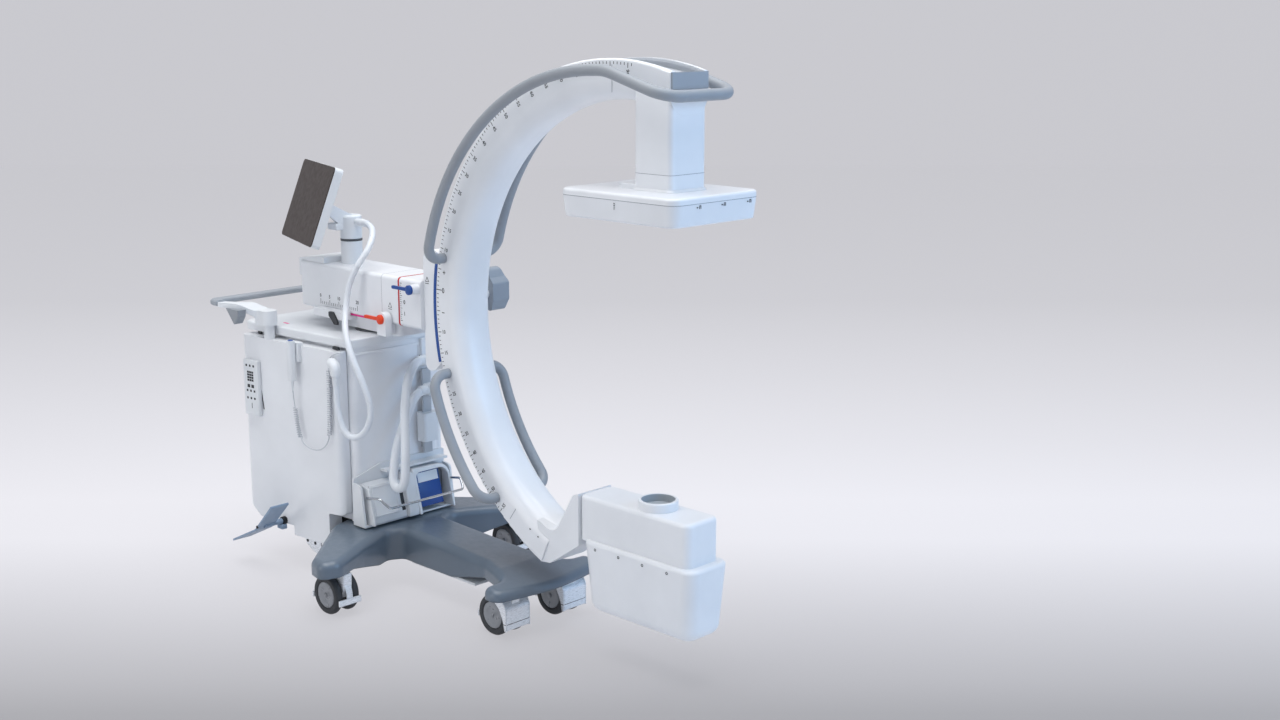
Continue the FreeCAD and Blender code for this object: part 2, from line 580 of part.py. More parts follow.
def cart_body():
    """Closed cabinet of the stand."""
    body = prism("xy", cart_plan(), BODY_Z0, DECK_Z0)
    return body.cut(well())


def top_deck():
    plan = [(DECK_FRONT_X, -DECK_FRONT_HALF, 26), (DECK_FRONT_X, DECK_FRONT_HALF, 26),
            (DECK_REAR_X, DECK_REAR_HALF, 30), (DECK_REAR_X, -DECK_REAR_HALF, 30)]
    deck = prism("xy", plan, DECK_Z0, DECK_Z1)
    deck = deck.makeFillet(6.0, flat_edges(deck, DECK_Z1))
    posts = [Part.makeCylinder(POST_R + SEAT, 60, V(POST_X, side * POST_Y, DECK_Z0 - 10)) for side in (-1, 1)]
    return deck.cut([well()] + posts)


def column_ring():
    """Dark guide ring round the column on the deck."""
    ring = Part.makeCylinder(RING_R, 6.0, V(COLUMN_X, 0, DECK_Z1))
    return ring.cut(Part.makeCylinder(COLUMN_R + RUN, 20, V(COLUMN_X, 0, DECK_Z1 - 5)))


def side_panel():
    """Deep side cover: it flares to the back, steps round the base's arm and ends in a skirt."""
    side = [(PANEL_FRONT_X, PANEL_Z1, 6), (PANEL_FRONT_X, 232, 10), (SKIRT_X1, 228, 8),
            (SKIRT_X1, PANEL_SKIRT_Z + 10, 6), (SKIRT_X1 - 30, PANEL_SKIRT_Z, 4),
            (SKIRT_X0, PANEL_SKIRT_Z, 4), (SKIRT_X0, PANEL_Z0, 4), (PANEL_REAR_X + 68, PANEL_Z0, 12),
            (PANEL_REAR_X, PANEL_Z0 + 52, 16), (PANEL_REAR_X, PANEL_Z1, 10)]
    inner_f, inner_r = BODY_NOTCH_HALF + 2 * SEAT, BODY_REAR_HALF + SEAT
    plan = [(PANEL_FRONT_X, -BODY_FRONT_HALF - 1, 4), (PANEL_FRONT_X, -PANEL_FRONT_Y, 22),
            (PANEL_REAR_X, -PANEL_REAR_Y, 34), (PANEL_REAR_X, -inner_r, 0), (BODY_REAR_X, -inner_r, 0),
            (BODY_NOTCH_X - 1, -inner_f, 0), (BODY_NOTCH_X - 1, -BODY_FRONT_HALF - 1, 0)]
    cover = prism("xz", side, -PANEL_REAR_Y - 20, 0)
    return cover.common(prism("xy", plan, 60, 900))


def chassis():
    """Steel under-frame that joins the base, the cabinet and the steered wheels."""
    front = prism("xy", rect(CHASSIS_X0, CHASSIS_X1, -CHASSIS_HALF, CHASSIS_HALF), CHASSIS_Z0, BODY_Z0)
    rear = rect(CHASSIS_X0, CHASSIS_X0 + 200, -CHASSIS_REAR_HALF, CHASSIS_REAR_HALF, 12)
    rear = prism("xy", rear, CHASSIS_Z0, BODY_Z0)
    bores = [Part.makeCylinder(STEM_PIN_R + RUN, 45, V(STEER_X, side * STEER_Y, CHASSIS_Z0 - 5))
             for side in (-1, 1)]
    return front.fuse(rear).cut(bores).removeSplitter()


def push_handle():
    """Flat grey grip bar, bent forward at both ends to its brackets."""
    half, wide, front = HANDLE_HALF, HANDLE_R, HANDLE_X + HANDLE_BEND
    plan = [(front, -half - wide, 0), (HANDLE_X - wide, -half - wide, 34), (HANDLE_X - wide, half + wide, 34),
            (front, half + wide, 0), (front, half - wide, 0), (HANDLE_X + wide, half - wide, 20),
            (HANDLE_X + wide, -half + wide, 20), (front, -half + wide, 0)]
    bar = prism("xy", plan, HANDLE_Z - HANDLE_T / 2, HANDLE_Z + HANDLE_T / 2)
    rims = flat_edges(bar, HANDLE_Z - HANDLE_T / 2) + flat_edges(bar, HANDLE_Z + HANDLE_T / 2)
    return bar.makeFillet(HANDLE_T * 0.42, [e for e in rims if e.BoundBox.XMin < front - 0.01])


def handle_bracket():
    """White arm from the grip bar, stepping down to the round head of its post."""
    plan = [(HANDLE_X + HANDLE_BEND, -HANDLE_HALF - 15, 3), (POST_X - 60, -HANDLE_HALF + 16, 20),
            (POST_X - 20, -POST_Y - POST_HEAD_R, 20), (POST_X + POST_HEAD_R, -POST_Y - POST_HEAD_R, 24),
            (POST_X + POST_HEAD_R, -POST_Y + POST_HEAD_R, 24),
            (POST_X - POST_HEAD_R, -POST_Y + POST_HEAD_R, 16),
            (POST_X - 84, -HANDLE_HALF + 50, 20), (HANDLE_X + HANDLE_BEND, -HANDLE_HALF + 15, 3)]
    top, head = HANDLE_Z + 4, POST_HEAD_Z1
    side = [(HANDLE_X, top - 15, 0), (HANDLE_X, top, 0), (POST_X - 62, top, 30), (POST_X - 30, head, 16),
            (POST_X + 60, head, 0), (POST_X + 60, POST_HEAD_Z0, 0),
            (POST_X - POST_HEAD_R - 1, POST_HEAD_Z0, 0),
            (POST_X - POST_HEAD_R - 1, head - 22, 12), (POST_X - 66, top - 15, 30)]
    arm = prism("xy", plan, DECK_Z1, HANDLE_Z + 40).common(prism("xz", side, -400, 0))
    post = Part.makeCylinder(POST_R, POST_HEAD_Z0 + 10 - PANEL_Z1, V(POST_X, -POST_Y, PANEL_Z1))
    return arm.fuse(post).removeSplitter()


def handle_gusset():
    """Grey wedge under the bracket's arm at the deck's rear corner."""
    top = HANDLE_Z + 4 - 15
    x = POST_X - 102
    side = [(x, top, 0), (x + 72, top, 0), (x + 68, top - 22, 8), (x + 46, top - 50, 4)]
    return prism("xz", side, -HANDLE_HALF - 6, -HANDLE_HALF + 24).cut(handle_bracket())


def pedal():
    """Rocker pedal of the brakes on its cross shaft."""
    t, x, y = 7.0, PANEL_REAR_X + 40, PANEL_REAR_Y + 24
    side = [(x + 240, 250, 2), (x + 140, 150, 30), (x, 84, 2), (x, 84 - t, 2),
            (x + 140, 150 - t, 30), (x + 243, 250 - t, 2)]
    plate = prism("xz", side, -y - 66, -y)
    pivot = x + 154
    shaft = rod(V(pivot, -y - 40, 160), V(pivot, -panel_face(pivot) - SEAT, 160), 9.0)
    return plate.fuse(shaft).cut(side_panel()).removeSplitter()


# Base and wheels


def base_plan():
    """Outline of the base seen from above: hub, two swept arms, spine and T-bar."""
    half = [(0, 150, 20), (20, 222, 60), (224, 446, 34), (294, 462, 30), (314, 400, 40), (246, 262, 90),
            (190, 132, 34), (216, 86, 26), (616, 90, 60), (736, 128, 40), (742, 206, 26), (808, 214, 34),
            (826, 120, 60)]
    near = [(BASE_REAR_X + x, -y, r) for x, y, r in half]
    return near + [(BASE_REAR_X + 844, 0, 400)] + [(x, -y, r) for x, y, r in reversed(near)]


def top_rims(shape):
    """Edges where an upright side meets the gently sloping top."""
    rims = []
    for edge in shape.Edges:
        rises = []
        for face in shape.ancestorsOfType(edge, Part.Face):
            u0, u1, v0, v1 = face.ParameterRange
            rises.append(face.normalAt((u0 + u1) / 2, (v0 + v1) / 2).z)
        if len(rises) == 2 and max(rises) > 0.6 and min(abs(rises[0]), abs(rises[1])) < 0.2:
            rims.append(edge)
    return rims


def base_casting():
    """Cast base: its plan, side view and front view meet in one sculpted form."""
    body = prism("xy", base_plan(), BASE_HUB_Z0, BASE_TOP + 10)
    side = [(-64, BASE_HUB_Z0, 0), (456, BASE_HUB_Z0, 60), (616, BASE_ARM_Z0 - 6, 60),
            (876, BASE_ARM_Z0 - 6, 0), (876, BASE_FRONT_TOP - 18, 0), (826, BASE_FRONT_TOP, 40),
            (696, BASE_TOP - 16, 60), (256, BASE_TOP, 0), (-64, BASE_TOP, 0)]
    side = [(BASE_REAR_X + x, z, r) for x, z, r in side]
    body = body.common(prism("xz", side, -600, 600))
    front = [(-500, BASE_ARM_Z0, 0), (-330, BASE_ARM_Z0, 60), (-180, BASE_HUB_Z0, 60), (180, BASE_HUB_Z0, 60),
             (330, BASE_ARM_Z0, 60), (500, BASE_ARM_Z0, 0), (500, BASE_TOP - 14, 0), (200, BASE_TOP, 200),
             (-200, BASE_TOP, 200), (-500, BASE_TOP - 14, 0)]
    body = body.common(prism("yz", front, BASE_REAR_X - 144, BASE_REAR_X + 956))
    body = body.makeFillet(BASE_RIM_R, top_rims(body))
    for name, x, y, style in CASTERS:
        body = body.cut(Part.makeCylinder(STEM_PIN_R + RUN, STEM_PIN_LEN + 10, V(x, y, BASE_ARM_Z0 - 10)))
    seat = CHASSIS_HALF + SEAT
    return body.cut(prism("xy", rect(BASE_REAR_X - 144, CHASSIS_X1 + SEAT, -seat, seat), CHASSIS_Z0, 300))


def wheel_profile(width):
    """Half section of a wheel about its axle: tyre with round shoulders and a dished hub."""
    w, r = width / 2, WHEEL_R
    hub = r - 17
    return [(0.0, -w + 4, 0), (hub - 4, -w + 4, 3), (hub, -w, 2), (r - 5, -w, 5), (r, -w + 8, 6),
            (r, w - 8, 6), (r - 5, w, 5), (hub, w, 2), (hub - 4, w - 4, 3), (0.0, w - 4, 0)]


def wheel(x, y, width):
    face = outline("yz", [(y + v, WHEEL_R + u, r) for u, v, r in wheel_profile(width)], x)
    return face.revolve(V(x, y, WHEEL_R), Y_AXIS, 360)


def twin_wheels(x, y):
    """Two wheels on one axle, as one turning piece."""
    cx = x - TRAIL
    wheels = [wheel(cx, y + s * WHEEL_HALF_TRACK, WHEEL_W) for s in (-1, 1)]
    axle = rod(V(cx, y - WHEEL_HALF_TRACK, WHEEL_R), V(cx, y + WHEEL_HALF_TRACK, WHEEL_R), AXLE_R)
    return wheels[0].fuse([wheels[1], axle]).removeSplitter()


def caster_fork(x, y, style):
    """Web between the wheels, stem into the base, and the bright guard of this caster."""
    cx = x - TRAIL
    top = BASE_ARM_Z0 - FORK_TOP_GAP
    if style == "hood":
        top -= 6
    half_web = WHEEL_HALF_TRACK - WHEEL_W / 2 - 2.5
    web = [(cx - 22, WHEEL_R - 16, 14), (cx + 24, WHEEL_R - 16, 10), (x + 26, WHEEL_R + 20, 12),
           (x + 30, top, 0), (cx - 8, top, 0), (cx - 24, WHEEL_R + 20, 16)]
    fork = prism("xz", web, y - half_web, y + half_web)
    stem = Part.makeCylinder(STEM_PIN_R, BASE_ARM_Z0 + STEM_PIN_LEN - 1 - (top - 6), V(x, y, top - 6))
    plate = Part.makeCylinder(half_web + 1, 6.0, V(x, y, top - 6))
    if style == "hood":
        guard = hood(cx, y, half_web)
    else:
        guard = hoop(cx, y, half_web)
    bore = rod(V(cx, y - 50, WHEEL_R), V(cx, y + 50, WHEEL_R), AXLE_R + RUN)
    return fork.fuse([stem, plate] + guard).cut(bore).removeSplitter()


def tyre_room(cx, y):
    """Space that the turning wheels need inside a guard."""
    reach = WHEEL_HALF_TRACK + WHEEL_W / 2 + 2
    return rod(V(cx, y - reach, WHEEL_R), V(cx, y + reach, WHEEL_R), WHEEL_R + 3)


def hoop(cx, y, half_web):
    """Bright hoop over the wheels and the bumper bars in front and behind."""
    r0, r1 = WHEEL_R + 3.5, WHEEL_R + 6.5
    ring = rod(V(cx, y - 11, WHEEL_R), V(cx, y + 11, WHEEL_R), r1)
    ring = ring.cut(rod(V(cx, y - 12, WHEEL_R), V(cx, y + 12, WHEEL_R), r0))
    keep = Part.makeBox(2 * r1, 22, r1 + 26, V(cx - r1, y - 11, WHEEL_R - 22))
    ring = ring.common(keep)
    bars = [prism("xy", rect(cx + s * r1 - 3.5, cx + s * r1 + 3.5, y - 41, y + 41, 3), WHEEL_R - 22,
                  WHEEL_R - 4) for s in (-1, 1)]
    web = rect(cx - 20, cx + 20, WHEEL_R + 22, WHEEL_R + r1 - 2)
    web = prism("xz", web, y - half_web, y + half_web)
    return [ring] + bars + [web]


def hood(cx, y, half_web):
    """Bright cover over the front of the wheels, cut out round the tyres."""
    r1 = WHEEL_R + 6.5
    side = [(cx + 6, WHEEL_R - 30, 4), (cx + r1, WHEEL_R - 34, 6), (cx + r1, WHEEL_R + 34, 22),
            (cx + r1 - 26, WHEEL_R + 63, 14), (cx - 4, WHEEL_R + 63, 4)]
    shell = prism("xz", side, y - 44, y + 44).cut(tyre_room(cx, y))
    web = [(cx - 4, WHEEL_R + 22, 0), (cx + r1 - 4, WHEEL_R + 22, 0), (cx + r1 - 4, WHEEL_R - 20, 0),
           (cx + 10, WHEEL_R - 20, 0)]
    web = prism("xz", web, y - half_web, y + half_web)
    bar = prism("xy", rect(cx - r1 - 3.5, cx - r1 + 3.5, y - 38, y + 38, 3), WHEEL_R - 20, WHEEL_R - 2)
    tie = prism("xz", rect(cx - r1 + 3, cx - 14, WHEEL_R - 16, WHEEL_R - 4), y - half_web, y + half_web)
    return [shell, web, bar, tie]


def steer_fork(side):
    """Steered rear wheel carrier under the cabinet."""
    y = side * STEER_Y
    half_in = STEER_WHEEL_W / 2 + 3
    plate = rect(STEER_X - 34, STEER_X + 34, y - half_in - 7, y + half_in + 7, 8)
    plate = prism("xy", plate, CHASSIS_Z0 - 8, CHASSIS_Z0 - SEAT)
    cheek = [(STEER_X - 16, WHEEL_R - 14, 12), (STEER_X + 16, WHEEL_R - 14, 12),
             (STEER_X + 34, CHASSIS_Z0 - 1, 0), (STEER_X - 34, CHASSIS_Z0 - 1, 0)]
    cheeks = [prism("xz", cheek, y + s * half_in - (7 if s < 0 else 0), y + s * half_in + (7 if s > 0 else 0))
              for s in (-1, 1)]
    pin = Part.makeCylinder(STEM_PIN_R, 40, V(STEER_X, y, CHASSIS_Z0 - 8))
    fork = plate.fuse(cheeks + [pin]).removeSplitter()
    return fork.cut(rod(V(STEER_X, y - 60, WHEEL_R), V(STEER_X, y + 60, WHEEL_R), AXLE_R + RUN))


def steer_wheel(side):
    y = side * STEER_Y
    reach = STEER_WHEEL_W / 2 + 8
    axle = rod(V(STEER_X, y - reach, WHEEL_R), V(STEER_X, y + reach, WHEEL_R), AXLE_R)
    return wheel(STEER_X, y, STEER_WHEEL_W).fuse(axle).removeSplitter()


# Front storage, rail and small fittings


def storage_tray():
    """Open holder for the foot switch: arched back, floor, near and far cheeks."""
    wall_x = TRAY_BACK_X + TRAY_WALL
    arch = [(TRAY_Y0, TRAY_Z0, 0), (TRAY_Y1, TRAY_Z0, 0), (TRAY_Y1, TRAY_Z1, 8), (-80, TRAY_Z1, 60),
            (TRAY_Y0, TRAY_Z1 - 34, 8)]
    back = prism("yz", arch, TRAY_BACK_X, wall_x)
    floor = prism("xz", rect(wall_x, TRAY_FRONT_X, TRAY_Z0, TRAY_Z0 + 6), TRAY_Y0, TRAY_Y1)
    side = [(wall_x, TRAY_Z0, 0), (TRAY_FRONT_X, TRAY_Z0, 4), (TRAY_FRONT_X - 18, TRAY_Z0 + 134, 12),
            (wall_x, TRAY_Z0 + 140, 0)]
    cheeks = [prism("xz", side, y, y + TRAY_WALL) for y in (TRAY_Y0, TRAY_Y1 - TRAY_WALL)]
    lip = [(-80, TRAY_Z1 - 26, 0), (TRAY_Y1 - TRAY_WALL - 4, TRAY_Z1 - 26, 0),
           (TRAY_Y1 - TRAY_WALL - 4, TRAY_Z1 - 19, 0), (-80, TRAY_Z1 - 19, 0)]
    lip = prism("yz", lip, wall_x, wall_x + 34)
    return back.fuse([floor, lip] + cheeks).removeSplitter()


def foot_switch():
    """Foot switch as it hangs in its holder: body, centre rib and the arched hood of the right pedal."""
    x0 = TRAY_BACK_X + TRAY_WALL + SEAT
    z0 = TRAY_Z0 + 6
    body = prism("xz", [(x0, z0, 0), (SWITCH_FRONT_X, z0, 4), (SWITCH_FRONT_X, z0 + 20, 4),
                        (SWITCH_FRONT_X - 26, z0 + 118, 14), (x0, z0 + 128, 0)],
                 SWITCH_Y0, SWITCH_Y1)
    lean = [(x0, z0, 0), (SWITCH_FRONT_X + 14, z0, 4), (SWITCH_FRONT_X + 14, z0 + 20, 6),
            (SWITCH_FRONT_X - 12, z0 + 140, 16), (x0, z0 + 146, 0)]
    rib = prism("xz", lean, -26, 14)
    hood = [(14, z0, 0), (SWITCH_Y1, z0, 8), (SWITCH_Y1, z0 + 142, 30), (14, z0 + 146, 10)]
    hood = prism("yz", hood, x0, SWITCH_FRONT_X + 40).common(prism("xz", lean, 0, 200))
    recess = prism("yz", [(26, z0 + 12, 6), (112, z0 + 12, 6), (112, z0 + 126, 20), (26, z0 + 126, 20)],
                   SWITCH_FRONT_X - 34, SWITCH_FRONT_X + 60)
    slot = prism("yz", rect(-44, -32, z0 + 14, z0 + 88, 3), SWITCH_FRONT_X - 36, SWITCH_FRONT_X + 60)
    return body.fuse([rib, hood]).cut(recess).cut(slot).removeSplitter()


def switch_pedals():
    """Left pedal on the body's face and the right one inside the hood."""
    tilt = math.degrees(math.atan2(26, 98))
    x, z = SWITCH_FRONT_X, TRAY_Z0 + 6 + 20
    pedals = []
    for y0, y1, depth, height in ((-160, -56, 1.0, 108), (30, 109, -18.0, 104)):
        plate = prism("xz", rect(depth, depth + 9, 4, height, 3), y0, y1)
        plate.rotate(V(0, 0, 0), Y_AXIS, -tilt)
        plate.translate(V(x, 0, z))
        pedals.append(plate.cut(foot_switch()))
    return pedals


def switch_handle():
    """Wire bail to carry the foot switch."""
    x, z, y0, y1 = SWITCH_FRONT_X - 20, TRAY_Z0 + 94, SWITCH_Y0 - 0.5, SWITCH_Y1 + 0.5
    pts = [V(x, y0, z), V(x + 66, y0, z + 12), V(x + 94, -150, z - 18), V(x + 94, 150, z - 18),
           V(x + 66, y1, z + 12), V(x, y1, z)]
    return swept(rounded_edges(pts, [0, 18, 14, 14, 18, 0], False), 4.0).cut(foot_switch())


def front_rail():
    """Upright rail on the front face, with its two feet."""
    rail = prism("xy", rect(RAIL_X0, RAIL_X1, 86, 122, 4), TRAY_Z1 + 3, DECK_Z0 - 104)
    feet = [prism("xy", rect(BODY_FRONT_X + SEAT, RAIL_X0, 94, 114), z, z + 24)
            for z in (TRAY_Z1 + 19, DECK_Z0 - 140)]
    return rail.fuse(feet).removeSplitter()


def rail_sleeve():
    z0, z1 = TRAY_Z1 + 45, TRAY_Z1 + 141
    block = prism("xy", rect(BODY_FRONT_X + 2, RAIL_X1 + 22, 72, 136, 12), z0, z1)
    slot = prism("xy", rect(RAIL_X0 - SEAT, RAIL_X1 + SEAT, 86 - SEAT, 122 + SEAT), z0 - 36, z1 + 68)
    back = prism("xy", rect(BODY_FRONT_X - 4, RAIL_X0, 92, 116), z0 - 36, z1 + 68)
    return block.cut(slot).cut(back)


def hose_clamp():
    """Brackets on the front face that hold both ends of the hose."""
    x, y, z = HOSE[0]
    strip = prism("yz", rect(y, y + 34, z - 22, z + 70, 6), BODY_FRONT_X + SEAT, BODY_FRONT_X + 14)
    elbow = rod(V(x, y, z), V(x, y + 26, z), HOSE_R + 3)
    x, y, z = HOSE[-1]
    block = prism("yz", rect(y, y + 34, z - 18, z + 18, 6), RAIL_X1, x + HOSE_R + 3)
    return [strip.fuse(elbow).removeSplitter(), block]


def handset():
    x, y = PANEL_FRONT_X - 202, PANEL_FRONT_Y + 54
    return prism("xy", rect(x, x + 26, -y, 24 - y, 9), PANEL_Z1 - 113, PANEL_Z1 + 18)


def handset_holder():
    x, y = PANEL_FRONT_X - 208, PANEL_FRONT_Y + 29.5
    block = prism("xy", rect(x, x + 38, -y, 23.5 - y, 4), PANEL_Z1 - 52, PANEL_Z1 + 10)
    return block.cut(side_panel())


def remote_control():
    x, y = PANEL_REAR_X + 52, PANEL_REAR_Y + 20
    body = prism("xy", rect(x, x + 40, -y, 28 - y, 6), PANEL_Z1 - 260, PANEL_Z1 - 68)
    return body.cut(side_panel())


def cable_gland():
    """Elbow where the monitor cable goes into the cabinet's corner."""
    x, y = BODY_FRONT_X - 38, PANEL_FRONT_Y + 32
    body = prism("xy", rect(x, x + 40, -y, 50 - y, 12), PANEL_Z1 - 68, PANEL_Z1 - 16)
    return body.cut(side_panel()).cut(cart_body())


# Monitor


def monitor_frame(shape):
    """Put a shape drawn upright at the origin, screen facing -Y, at the monitor's place."""
    shape.rotate(V(0, 0, 0), X_AXIS, -MON_TILT)
    shape.rotate(V(0, 0, 0), Z_AXIS, MON_YAW)
    shape.translate(V(MON_X, MON_Y, MON_Z))
    return shape


def hinge_place(v=0.0):
    """Point of the tilt hinge behind the monitor, v along its axis."""
    return monitor_frame(Part.Vertex(v, MON_T / 2 + KNUCKLE_BACK, 0)).Point


def monitor_shell():
    w, h, t = MON_W / 2, MON_H / 2, MON_T
    shell = monitor_frame(prism("xz", rect(-w, w, -h, h, 14), -t / 2 + 3, t / 2))
    inner, outer = KNUCKLE_HALF + RUN, KNUCKLE_HALF + 11
    ear = [(t / 2 - 1, -KNUCKLE_R, 0), (t / 2 + KNUCKLE_BACK + KNUCKLE_R, -KNUCKLE_R, KNUCKLE_R - 1),
           (t / 2 + KNUCKLE_BACK + KNUCKLE_R, KNUCKLE_R, KNUCKLE_R - 1), (t / 2 - 1, KNUCKLE_R, 0)]
    ears = [monitor_frame(prism("yz", ear, *span)) for span in ((-outer, -inner), (inner, outer))]
    pin = rod(hinge_place(-inner - 2), hinge_place(inner + 2), HINGE_PIN_R)
    return shell.fuse(ears + [pin]).removeSplitter()


def monitor_screen():
    w, h, t = MON_W / 2, MON_H / 2, MON_T
    return monitor_frame(prism("xz", rect(-w + 1, w - 1, -h + 1, h - 1, 13), -t / 2, -t / 2 + 3))


def monitor_head():
    """Turning head on the stem with the arm to the monitor's tilt hinge."""
    head = Part.makeCylinder(STEM_R, STEM_TOP_Z - STEM_SEAM_Z - RUN, V(STEM_X, 0, STEM_SEAM_Z + RUN))
    head = head.makeFillet(8.0, flat_edges(head, STEM_TOP_Z))
    hinge = hinge_place()
    reach = math.hypot(hinge.x - STEM_X, hinge.y)
    bend = [(-14, STEM_TOP_Z - 52, 10), (20, STEM_TOP_Z - 52, 12), (reach, hinge.z - KNUCKLE_R, 0),
            (reach, hinge.z + KNUCKLE_R - 1, 0), (reach - 16, hinge.z + KNUCKLE_R - 1, 12),
            (10, STEM_TOP_Z + 6, 14), (-14, STEM_TOP_Z - 4, 10)]
    arm = prism("xz", bend, -KNUCKLE_HALF, KNUCKLE_HALF)
    arm.rotate(V(0, 0, 0), Z_AXIS, math.degrees(math.atan2(hinge.y, hinge.x - STEM_X)))
    arm.translate(V(STEM_X, 0, 0))
    knuckle = rod(hinge_place(-KNUCKLE_HALF), hinge_place(KNUCKLE_HALF), KNUCKLE_R)
    spout = rod(V(STEM_X + 20, 0, MONITOR_CABLE[0][2]), V(*MONITOR_CABLE[0]), CABLE_R + 2.5)
    body = head.fuse([arm, knuckle, spout])
    pivot = Part.makeCylinder(STEM_PIVOT_R + RUN, STEM_PIVOT_LEN + 3, V(STEM_X, 0, STEM_SEAM_Z))
    lug_room = [rod(hinge_place(s * (KNUCKLE_HALF)), hinge_place(s * 60), KNUCKLE_R + 4) for s in (-1, 1)]
    bore = rod(hinge_place(-60), hinge_place(60), HINGE_PIN_R + RUN)
    return body.cut([pivot, bore] + lug_room).removeSplitter()


# Cords


MONITOR_CABLE = [
    (-1322, 0, 1146), (-1278, 0, 1146), (-1230, -22, 1124), (-1196, -66, 1083), (-1202, -99, 1043),
    (-1206, -108, 1028), (-1212, -116, 1012), (-1230, -128, 962), (-1226, -145, 890), (-1176, -186, 836),
    (-1128, -200, 768), (-1090, -190, 692), (-1064, -178, 620), (-1066, -180, 562), (-1096, -192, 512),
    (-1140, -208, 500), (-1170, -218, 542), (-1180, -222, 602), (-1182, -222, 652), (-1182, -222, 700),
]
HOSE = [
    (-1144, 96, 704), (-1144, 70, 704), (-1120, 32, 694), (-1094, -10, 664), (-1072, -38, 608),
    (-1048, -62, 544), (-1026, -78, 484), (-1013, -90, 424), (-1011, -97, 354), (-1030, -99, 334),
    (-1058, -98, 334), (-1077, -94, 354), (-1084, -80, 408), (-1098, -56, 460), (-1112, -20, 506),
    (-1120, 8, 550),
    (-1123, 34, 588), (-1124, 60, 610), (-1124, 87, 610),
]
HANDSET_LEAD = [(-1383, -250, 655), (-1385, -248, 612), (-1384, -244, 572)]
HANDSET_SLACK = [(-1370, -242, 476), (-1352, -240, 450), (-1312, -236, 436), (-1270, -232, 440),
                 (-1238, -226, 464), (-1226, -222, 500)]
HANDSET_ARCH = [(-1223, -220, 700), (-1222, -219, 736), (-1208, -217, 762), (-1180, -200, 768)]


def handset_cord():
    lead = cord("lead", HANDSET_LEAD, THIN_R).cut(handset())
    return [lead, cord("slack", HANDSET_SLACK, THIN_R + 1), cord("arch", HANDSET_ARCH, THIN_R + 1)]


def handset_curls():
    """Coiled stretches of the handset's cord, as plain tubes of their outer size."""
    spans = [(HANDSET_LEAD[-1], HANDSET_SLACK[0]), (HANDSET_SLACK[-1], HANDSET_ARCH[0])]
    return [rod(V(*start), V(*end), CURLY_R) for start, end in spans]


def cable_part(upper):
    tube = cord("monitor cable", MONITOR_CABLE, CABLE_R)
    z0, z1 = (CABLE_SPLIT_Z + SEAT / 2, 2000) if upper else (0, CABLE_SPLIT_Z - SEAT / 2)
    return tube.common(Part.makeBox(900, 600, z1 - z0, V(-1700, -400, z0)))


def build():
    parts = {
        "base_casting": base_casting(), "cart_body": cart_body(), "top_deck": top_deck(),
        "side_panel_right": side_panel(), "side_panel_left": mirrored(side_panel()), "chassis": chassis(),
        "push_handle": push_handle(), "handle_brackets": both_sides(handle_bracket()),
        "handle_gussets": both_sides(handle_gusset()), "brake_levers": brake_levers(), "c_levers": c_levers(),
        "brake_pedals": both_sides(pedal()), "column_ring": column_ring(), "storage_tray": storage_tray(),
        "foot_switch": foot_switch(), "switch_pedals": switch_pedals(), "switch_handle": switch_handle(),
        "front_rail": front_rail(), "rail_sleeve": rail_sleeve(), "hose_clamp": hose_clamp(),
        "handset": handset(), "handset_holder": handset_holder(), "remote_control": remote_control(),
        "cable_gland": cable_gland(), "monitor_cable_lower": cable_part(False),
        "monitor_cable_upper": cable_part(True), "supply_hose": cord("hose", HOSE, HOSE_R),
        "handset_cord": handset_cord(), "handset_curls": handset_curls(),
        "lift_column": lift_column(), "swivel_block": swivel_block(), "boom_housing": boom_housing(),
        "boom_cowl": boom_cowl(), "monitor_stem": monitor_stem(), "rotation_sleeve": rotation_sleeve(),
        "carriage": carriage(), "c_arc": c_arc(), "arc_end_cap": arc_end_cap(), "grab_rails": grab_rails(),
        "detector_column": detector_column(), "detector_housing": detector_housing(), "tube_arm": tube_arm(),
        "tube_tank": tube_tank(), "monitor_head": monitor_head(), "monitor_shell": monitor_shell(),
        "monitor_screen": monitor_screen(),
    }
    for name, x, y, style in CASTERS:
        parts["caster_fork_" + name] = caster_fork(x, y, style)
        parts["caster_wheels_" + name] = twin_wheels(x, y)
    for name, side in (("right", -1), ("left", 1)):
        parts["steer_fork_" + name] = steer_fork(side)
        parts["steer_wheel_" + name] = steer_wheel(side)
    return parts


os.makedirs("parts", exist_ok=True)
for node, shape in build().items():
    solids = shape if isinstance(shape, list) else [shape]
    whole = Part.makeCompound(solids) if len(solids) > 1 else solids[0]
    whole = whole.copy()
    whole.translate(V(-ORIGIN_X, 0, 0))
    whole.exportStep("parts/" + node + ".step")
    print(node, len(whole.Solids), whole.isValid(), round(whole.Volume / 1000), "cm3")
print("origin shift", -ORIGIN_X)
for row in RADII:
    print("cord", *row)
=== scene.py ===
"""Looks of a mobile C-arm stand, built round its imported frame.

Helpers take part.py's own millimetres, with X measured from the X-ray beam.
"""

import json
import math

import bmesh
import bpy
from mathutils import Matrix, Vector

